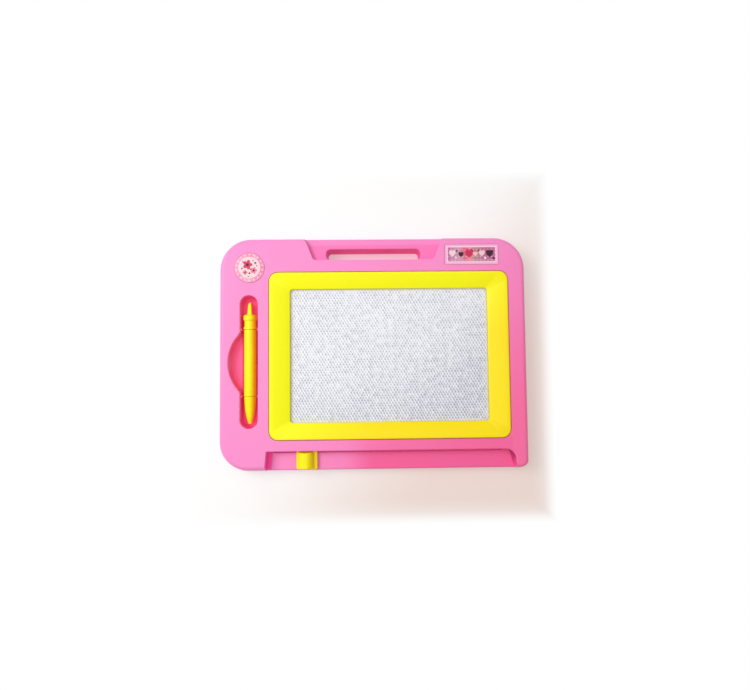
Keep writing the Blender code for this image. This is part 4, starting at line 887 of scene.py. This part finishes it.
def badge_print():
    """Pale disc with three flowers and small seeds, in a red ring with pale dots."""
    finish = Finish("badge_print", BADGE_PALE, BADGE_ROUGHNESS, specular_ior_level=BADGE_SPECULAR)
    x, y = (axis / MM for axis in from_centre(finish, "corner_badge")[:2])
    distance = x.length_with(y)
    paper = finish.noise(BADGE_PAPER, detail=3)
    colour = finish.mix(paper.step(*BADGE_PAPER_SPAN) * BADGE_ROSE_SHARE, BADGE_PALE, BADGE_ROSE)
    for centre, petals, radius, dye_or_shade in BADGE_FLOWERS:
        shape, eye = flower(x, y, centre, petals, radius)
        colour = finish.mix(shape, colour, dye_or_shade)
        colour = finish.mix(eye, colour, INK)
    for centre, radius, dye_or_shade in BADGE_SEEDS:
        colour = finish.mix(spot(x, y, centre, radius), colour, dye_or_shade)
    shade = finish.noise(BADGE_SHADE, detail=2).step(*BADGE_SHADE_SPAN)
    ring_colour = finish.mix(shade, BADGE_RING, BADGE_RING_PALE)
    colour = finish.mix(distance.step(*BADGE_RING_MM), colour, ring_colour)
    dot_pitch = BADGE_DOTS_AT_MM * 2 * math.pi / BADGE_DOTS
    around = (y.angle_over(x) * BADGE_DOTS_AT_MM).from_middle(dot_pitch)
    dots = around.length_with(distance - BADGE_DOTS_AT_MM).fall(*BADGE_DOT_MM)
    colour = finish.mix(dots, colour, BADGE_DOT)
    colour = finish.mix(distance.step(*BADGE_RIM_MM), colour, BADGE_RIM)
    finish.set("Base Color", colour)
    finish.set("Coat Weight", BADGE_COAT)
    finish.bump(paper, PRINT_DEPTH, PRINT_STRENGTH)
    return finish


LABEL_ROUGHNESS = 0.3
LABEL_COAT = 0.3
LABEL_PAPER = 1.7 * MM
LABEL_PAPER_SPAN = (0.4, 0.7)
LABEL_PALE_SHARE = 0.5
LABEL_FRAME = (0.98, 0.40, 0.64)
LABEL_FRAME_PALE = (0.94, 0.50, 0.74)
LABEL_LINE = (1.0, 0.74, 0.90)
LABEL_LINE_MM = ((22.4, 22.7), (7.1, 7.4))
STRIP_MM = ((21.6, 21.9), (6.3, 6.6))
STRIP_LENGTH_MM = 42.6
STRIP_WAVE = 5 * MM
STRIP_WAVE_SHARE = 0.18
STRIP_STOPS = [(0.0, (0.52, 0.14, 0.30)), (0.12, (0.62, 0.26, 0.42)), (0.24, (0.62, 0.32, 0.44)),
               (0.36, (0.78, 0.12, 0.22)), (0.47, (0.92, 0.28, 0.34)), (0.56, (0.50, 0.22, 0.24)),
               (0.68, (0.52, 0.20, 0.28)), (0.80, (0.48, 0.12, 0.26)), (1.0, (0.58, 0.14, 0.34))]
STRIP_FOOT = (0.72, 0.42, 0.52)
STRIP_FOOT_MM = (-7.0, -3.0)
STRIP_FOOT_SHARE = 0.45
STRIP_SHADOW = (0.34, 0.06, 0.14)
STRIP_SHADOW_MM = (-6.4, -5.8)
STRIP_SHADOW_SHARE = 0.8
DOT_PITCH_MM = 3.3
DOT_SHIFT_MM = 0.4
DOT_MM = (0.42, 0.7)
DOT_PALE = (0.92, 0.66, 0.74)
DOT_SHARE = 0.55
LABEL_HEARTS = (((-17.5, 0.6), 2.6, (0.90, 0.66, 0.72)), ((-9.6, -0.4), 2.1, INK),
                ((-2.2, 0.4), 3.6, (0.62, 0.02, 0.10)), ((3.4, 0.0), 1.9, (0.96, 0.50, 0.50)),
                ((9.3, 0.6), 2.4, (0.88, 0.60, 0.66)), ((16.4, 0.2), 3.0, INK))
LABEL_SPOTS = (((-13.4, 3.2), 0.8, INK), ((-14.2, -3.0), 0.8, (0.93, 0.80, 0.84)),
               ((-5.8, 3.6), 0.9, (0.85, 0.20, 0.26)), ((6.4, 3.4), 0.8, INK),
               ((12.4, -3.4), 1.0, (0.95, 0.80, 0.82)), ((12.8, 3.4), 0.9, (0.80, 0.10, 0.18)),
               ((20.0, -3.6), 1.2, (0.16, 0.02, 0.05)))
HEART_EDGE = 0.05


def heart(x, y, centre, size):
    """Mask of a heart."""
    u = (x - centre[0]) / size
    v = (y - centre[1]) / size
    ball = u * u + v * v - 1
    return (ball * ball * ball - u * u * v * v * v).fall(-HEART_EDGE, HEART_EDGE)


def in_frame(x, y, spans):
    """1 inside a rectangle round the middle, with soft edges between its two half sizes."""
    return x.size().fall(*spans[0]) * y.size().fall(*spans[1])


def label_print():
    """Pink frame with a bright inner line round a mauve and red strip of hearts and dots."""
    finish = Finish("label_print", LABEL_FRAME, LABEL_ROUGHNESS)
    x, y = (axis / MM for axis in from_centre(finish, "picture_label")[:2])
    paper = finish.noise(LABEL_PAPER, detail=3)
    wave = (finish.noise(STRIP_WAVE, detail=2) - 0.5) * STRIP_WAVE_SHARE
    along = x / STRIP_LENGTH_MM + 0.5 + wave
    colour = finish.add("ShaderNodeValToRGB", {"stops": STRIP_STOPS}, {"Fac": along})
    colour = finish.mix(y.fall(*STRIP_FOOT_MM) * STRIP_FOOT_SHARE, colour, STRIP_FOOT)
    off_column = x.from_middle(DOT_PITCH_MM)
    off_row = (y + DOT_SHIFT_MM).from_middle(DOT_PITCH_MM)
    dots = off_column.length_with(off_row).fall(*DOT_MM)
    colour = finish.mix(dots * DOT_SHARE, colour, DOT_PALE)
    for centre, size, dye_or_shade in LABEL_HEARTS:
        colour = finish.mix(heart(x, y, centre, size), colour, dye_or_shade)
    for centre, radius, dye_or_shade in LABEL_SPOTS:
        colour = finish.mix(spot(x, y, centre, radius), colour, dye_or_shade)
    colour = finish.mix(y.fall(*STRIP_SHADOW_MM) * STRIP_SHADOW_SHARE, colour, STRIP_SHADOW)
    pale = paper.step(*LABEL_PAPER_SPAN) * LABEL_PALE_SHARE
    frame_colour = finish.mix(pale, LABEL_FRAME, LABEL_FRAME_PALE)
    framed = finish.mix(in_frame(x, y, LABEL_LINE_MM), frame_colour, LABEL_LINE)
    finish.set("Base Color", finish.mix(in_frame(x, y, STRIP_MM), framed, colour))
    finish.set("Coat Weight", LABEL_COAT)
    finish.bump(paper, PRINT_DEPTH, PRINT_STRENGTH)
    return finish


dressed("corner_badge", badge_print())
dressed("picture_label", label_print())

# Screws: eight zinc plated self-tapping screws with a pan head and a cross recess, driven up from
# behind through the rear shell into bosses of the front one.
SCREW_COUNT = 8
HEAD_RADIUS = 2.3 * MM
HEAD_HEIGHT = 1.4 * MM
HEAD_CROWN_SHARE = 0.8
HEAD_SIDES = 32
BRIM_MIDDLE_SHARE = 0.75
SHANK_RADIUS = 1.05 * MM
SHANK_TIP_SHARE = 0.6
SHANK_SIDES = 20
THREAD_RADIUS = 0.32 * MM
THREAD_TIP_SHARE = 0.7
THREAD_TURNS = 6
THREAD_SIDES = 3
THREAD_START_SHARE = 1.3
THREAD_LOSS_SHARE = 1.6
SCREW_REACH = 7.6 * MM
RECESS_WIDTH = 0.62 * MM
RECESS_LENGTH = 2.7 * MM
RECESS_DEPTH = 0.85 * MM


def screw_tree():
    """Pan-head screw, head down, on every seed point."""
    screw = Nodes("pan_head_screws", [
        ("Head radius", "Float"), ("Head height", "Float"), ("Shank radius", "Float"),
        ("Length", "Float"), ("Recess width", "Float"), ("Material", "Material")])
    given = screw.given

    def share_of(label, share):
        """Part of one of the given sizes."""
        return screw.maths("MULTIPLY", given(label), share)

    half_head = share_of("Head height", 0.5)
    crown = screw.add("GeometryNodeMeshCone", None, {
        "Vertices": HEAD_SIDES, "Radius Bottom": share_of("Head radius", HEAD_CROWN_SHARE),
        "Radius Top": given("Head radius"), "Depth": half_head})
    brim = screw.add("GeometryNodeMeshCylinder", None, {
        "Vertices": HEAD_SIDES, "Radius": given("Head radius"), "Depth": half_head})
    brim = screw.moved(brim, Z=share_of("Head height", BRIM_MIDDLE_SHARE))
    shank = screw.add("GeometryNodeMeshCone", None, {
        "Vertices": SHANK_SIDES, "Radius Bottom": given("Shank radius"),
        "Radius Top": share_of("Shank radius", SHANK_TIP_SHARE),
        "Depth": screw.maths("SUBTRACT", given("Length"), half_head)})
    shank = screw.moved(shank, Z=half_head)
    thread_loss = share_of("Head height", THREAD_LOSS_SHARE)
    coil = screw.add("GeometryNodeCurveSpiral", None, {
        "Resolution": SHANK_SIDES, "Rotations": float(THREAD_TURNS),
        "Start Radius": given("Shank radius"), "End Radius": share_of("Shank radius", THREAD_TIP_SHARE),
        "Height": screw.maths("SUBTRACT", given("Length"), thread_loss)})
    ridge = screw.add("GeometryNodeCurvePrimitiveCircle", None,
                      {"Resolution": THREAD_SIDES, "Radius": THREAD_RADIUS})
    thread = screw.add("GeometryNodeCurveToMesh", None, {
        "Curve": coil.outputs[0], "Profile Curve": ridge.outputs[0], "Fill Caps": True})
    thread = screw.moved(thread, Z=share_of("Head height", THREAD_START_SHARE))
    parts = [part.outputs[0] for part in (thread, shank, brim, crown)]
    solid = screw.add("GeometryNodeMeshBoolean", {"operation": "UNION", "solver": "EXACT"}, {1: parts})
    slots = []
    width = given("Recess width")
    for size_x, size_y in ((RECESS_LENGTH, width), (width, RECESS_LENGTH)):
        extent = screw.add("ShaderNodeCombineXYZ", None,
                           {"X": size_x, "Y": size_y, "Z": 2 * RECESS_DEPTH})
        slots.append(screw.add("GeometryNodeMeshCube", None, {"Size": extent.outputs[0]}).outputs[0])
    driven = screw.add("GeometryNodeMeshBoolean", {"operation": "DIFFERENCE", "solver": "EXACT"},
                       {0: solid.outputs[0], 1: slots})
    return screw.finish(given("Geometry"), driven.outputs[0])


ZINC = (0.56, 0.56, 0.57)
ZINC_DARK = (0.48, 0.48, 0.50)
ZINC_WARM = (0.64, 0.63, 0.60)
ZINC_CLOUD = 1.2 * MM
ZINC_ROUGHNESS = 0.25
ZINC_SMUDGE = 1.5 * MM
ZINC_SMUDGE_SPAN = (0.3, 0.8)
ZINC_SMUDGE_DULLS = 0.2
ZINC_GRAIN = 0.3 * MM
ZINC_GRAIN_DEPTH = 0.01 * MM
ZINC_GRAIN_STRENGTH = 0.4


def zinc():
    """Zinc plate with a faint cloud, uneven gloss and a fine grain."""
    finish = Finish("zinc_steel", ZINC, ZINC_ROUGHNESS, metallic=1.0)
    clouds = finish.noise(ZINC_CLOUD, detail=3)
    finish.set("Base Color", finish.mix(clouds, ZINC_DARK, ZINC_WARM))
    smudges = finish.noise(ZINC_SMUDGE, detail=4).step(*ZINC_SMUDGE_SPAN)
    finish.set("Roughness", ZINC_ROUGHNESS + smudges * ZINC_SMUDGE_DULLS)
    finish.bump(finish.noise(ZINC_GRAIN, detail=2), ZINC_GRAIN_DEPTH, ZINC_GRAIN_STRENGTH)
    return finish


def housing_screws(finish):
    """All eight screws, seated where the CAD screws are."""
    names = ["housing_screw_%d" % (number + 1) for number in range(SCREW_COUNT)]
    seeds = []
    for name in names:
        low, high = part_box(name)
        seeds.append(((low.x + high.x) / 2, (low.y + high.y) / 2, low.z))
    screws = grown("housing_screws", screw_tree(), {
        "Head radius": HEAD_RADIUS, "Head height": HEAD_HEIGHT, "Shank radius": SHANK_RADIUS,
        "Length": SCREW_REACH, "Recess width": RECESS_WIDTH, "Material": finish.material}, seeds)
    soften(screws.data)
    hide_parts(*names)
    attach(screws, "board")


steel = zinc()
housing_screws(steel)

# Eraser: a yellow knob pressed on the tongue of a white bar that carries a flexible magnet behind
# the screen, on two felt pads.
KNOB_YELLOW = (0.99, 0.87, 0.004)
KNOB_SHADED = (0.99, 0.76, 0.003)
KNOB_ROUGHNESS = 0.36
KNOB_SHADE_SPAN = (-3 * MM, 5 * MM)
FLANK_LEAN = 0.4
FLANK_CLOUD = 12 * MM
FLANK_CLOUD_SPAN = (0.4, 0.8)
FLANK_CLOUD_SHARE = 0.15
NYLON = (0.76, 0.76, 0.73)
MAGNET_BLACK = (0.02, 0.02, 0.022)
FELT_GREY = (0.07, 0.07, 0.08)


def flank_shaded_yellow(name, node, roughness, lit_and_shaded, span):
    """Yellow with painted shade that deepens across one piece, towards its right flank and its foot."""
    finish = Finish(name, lit_and_shaded[0], roughness, specular_ior_level=YELLOW_SPECULAR)
    x, y, z = from_centre(finish, node)
    # Painted shade: deeper towards the right flank and the foot, away from the lamp.
    flank = (x - z * FLANK_LEAN).step(*span)
    clouds = finish.noise(FLANK_CLOUD, detail=2).step(*FLANK_CLOUD_SPAN) * FLANK_CLOUD_SHARE
    finish.set("Base Color", finish.mix((flank + clouds).smaller(1), *lit_and_shaded))
    satin(finish, roughness, YELLOW_GRAIN)
    return finish


knob_lit_and_shaded = (KNOB_YELLOW, KNOB_SHADED)
knob_yellow = flank_shaded_yellow("knob_polystyrene", "eraser_knob", KNOB_ROUGHNESS, knob_lit_and_shaded, KNOB_SHADE_SPAN)
dressed("eraser_knob", knob_yellow)
nylon = plain_sheet("white_nylon", NYLON, roughness=0.45, grain_size=0.4 * MM)
dressed("eraser_carrier", nylon)
magnet_rubber = plain_sheet("magnet_rubber", MAGNET_BLACK, roughness=0.7, grain_size=0.3 * MM)
dressed("eraser_magnet_strip", magnet_rubber)
felt = plain_sheet("grey_felt", FELT_GREY, roughness=0.95, grain_size=0.25 * MM)
dressed("front_glide_pad", felt)
dressed("back_glide_pad", felt)

# Pen: a hollow yellow barrel with a pressed-in nose, which holds a rod magnet, and an end plug with
# a flat lug for a cord.
PEN_YELLOW = (0.98, 0.89, 0.004)
PEN_SHADED = (0.97, 0.50, 0.002)
PEN_ROUGHNESS = 0.26
PEN_SHADE_SPAN = (-1.6 * MM, 3.4 * MM)

pen_lit_and_shaded = (PEN_YELLOW, PEN_SHADED)
pen_yellow = flank_shaded_yellow("pen_polystyrene", "pen_barrel", PEN_ROUGHNESS, pen_lit_and_shaded, PEN_SHADE_SPAN)
dressed("pen_nose", pen_yellow)
dressed("pen_barrel", pen_yellow)
dressed("pen_end_plug", pen_yellow)
dressed("pen_magnet", steel)
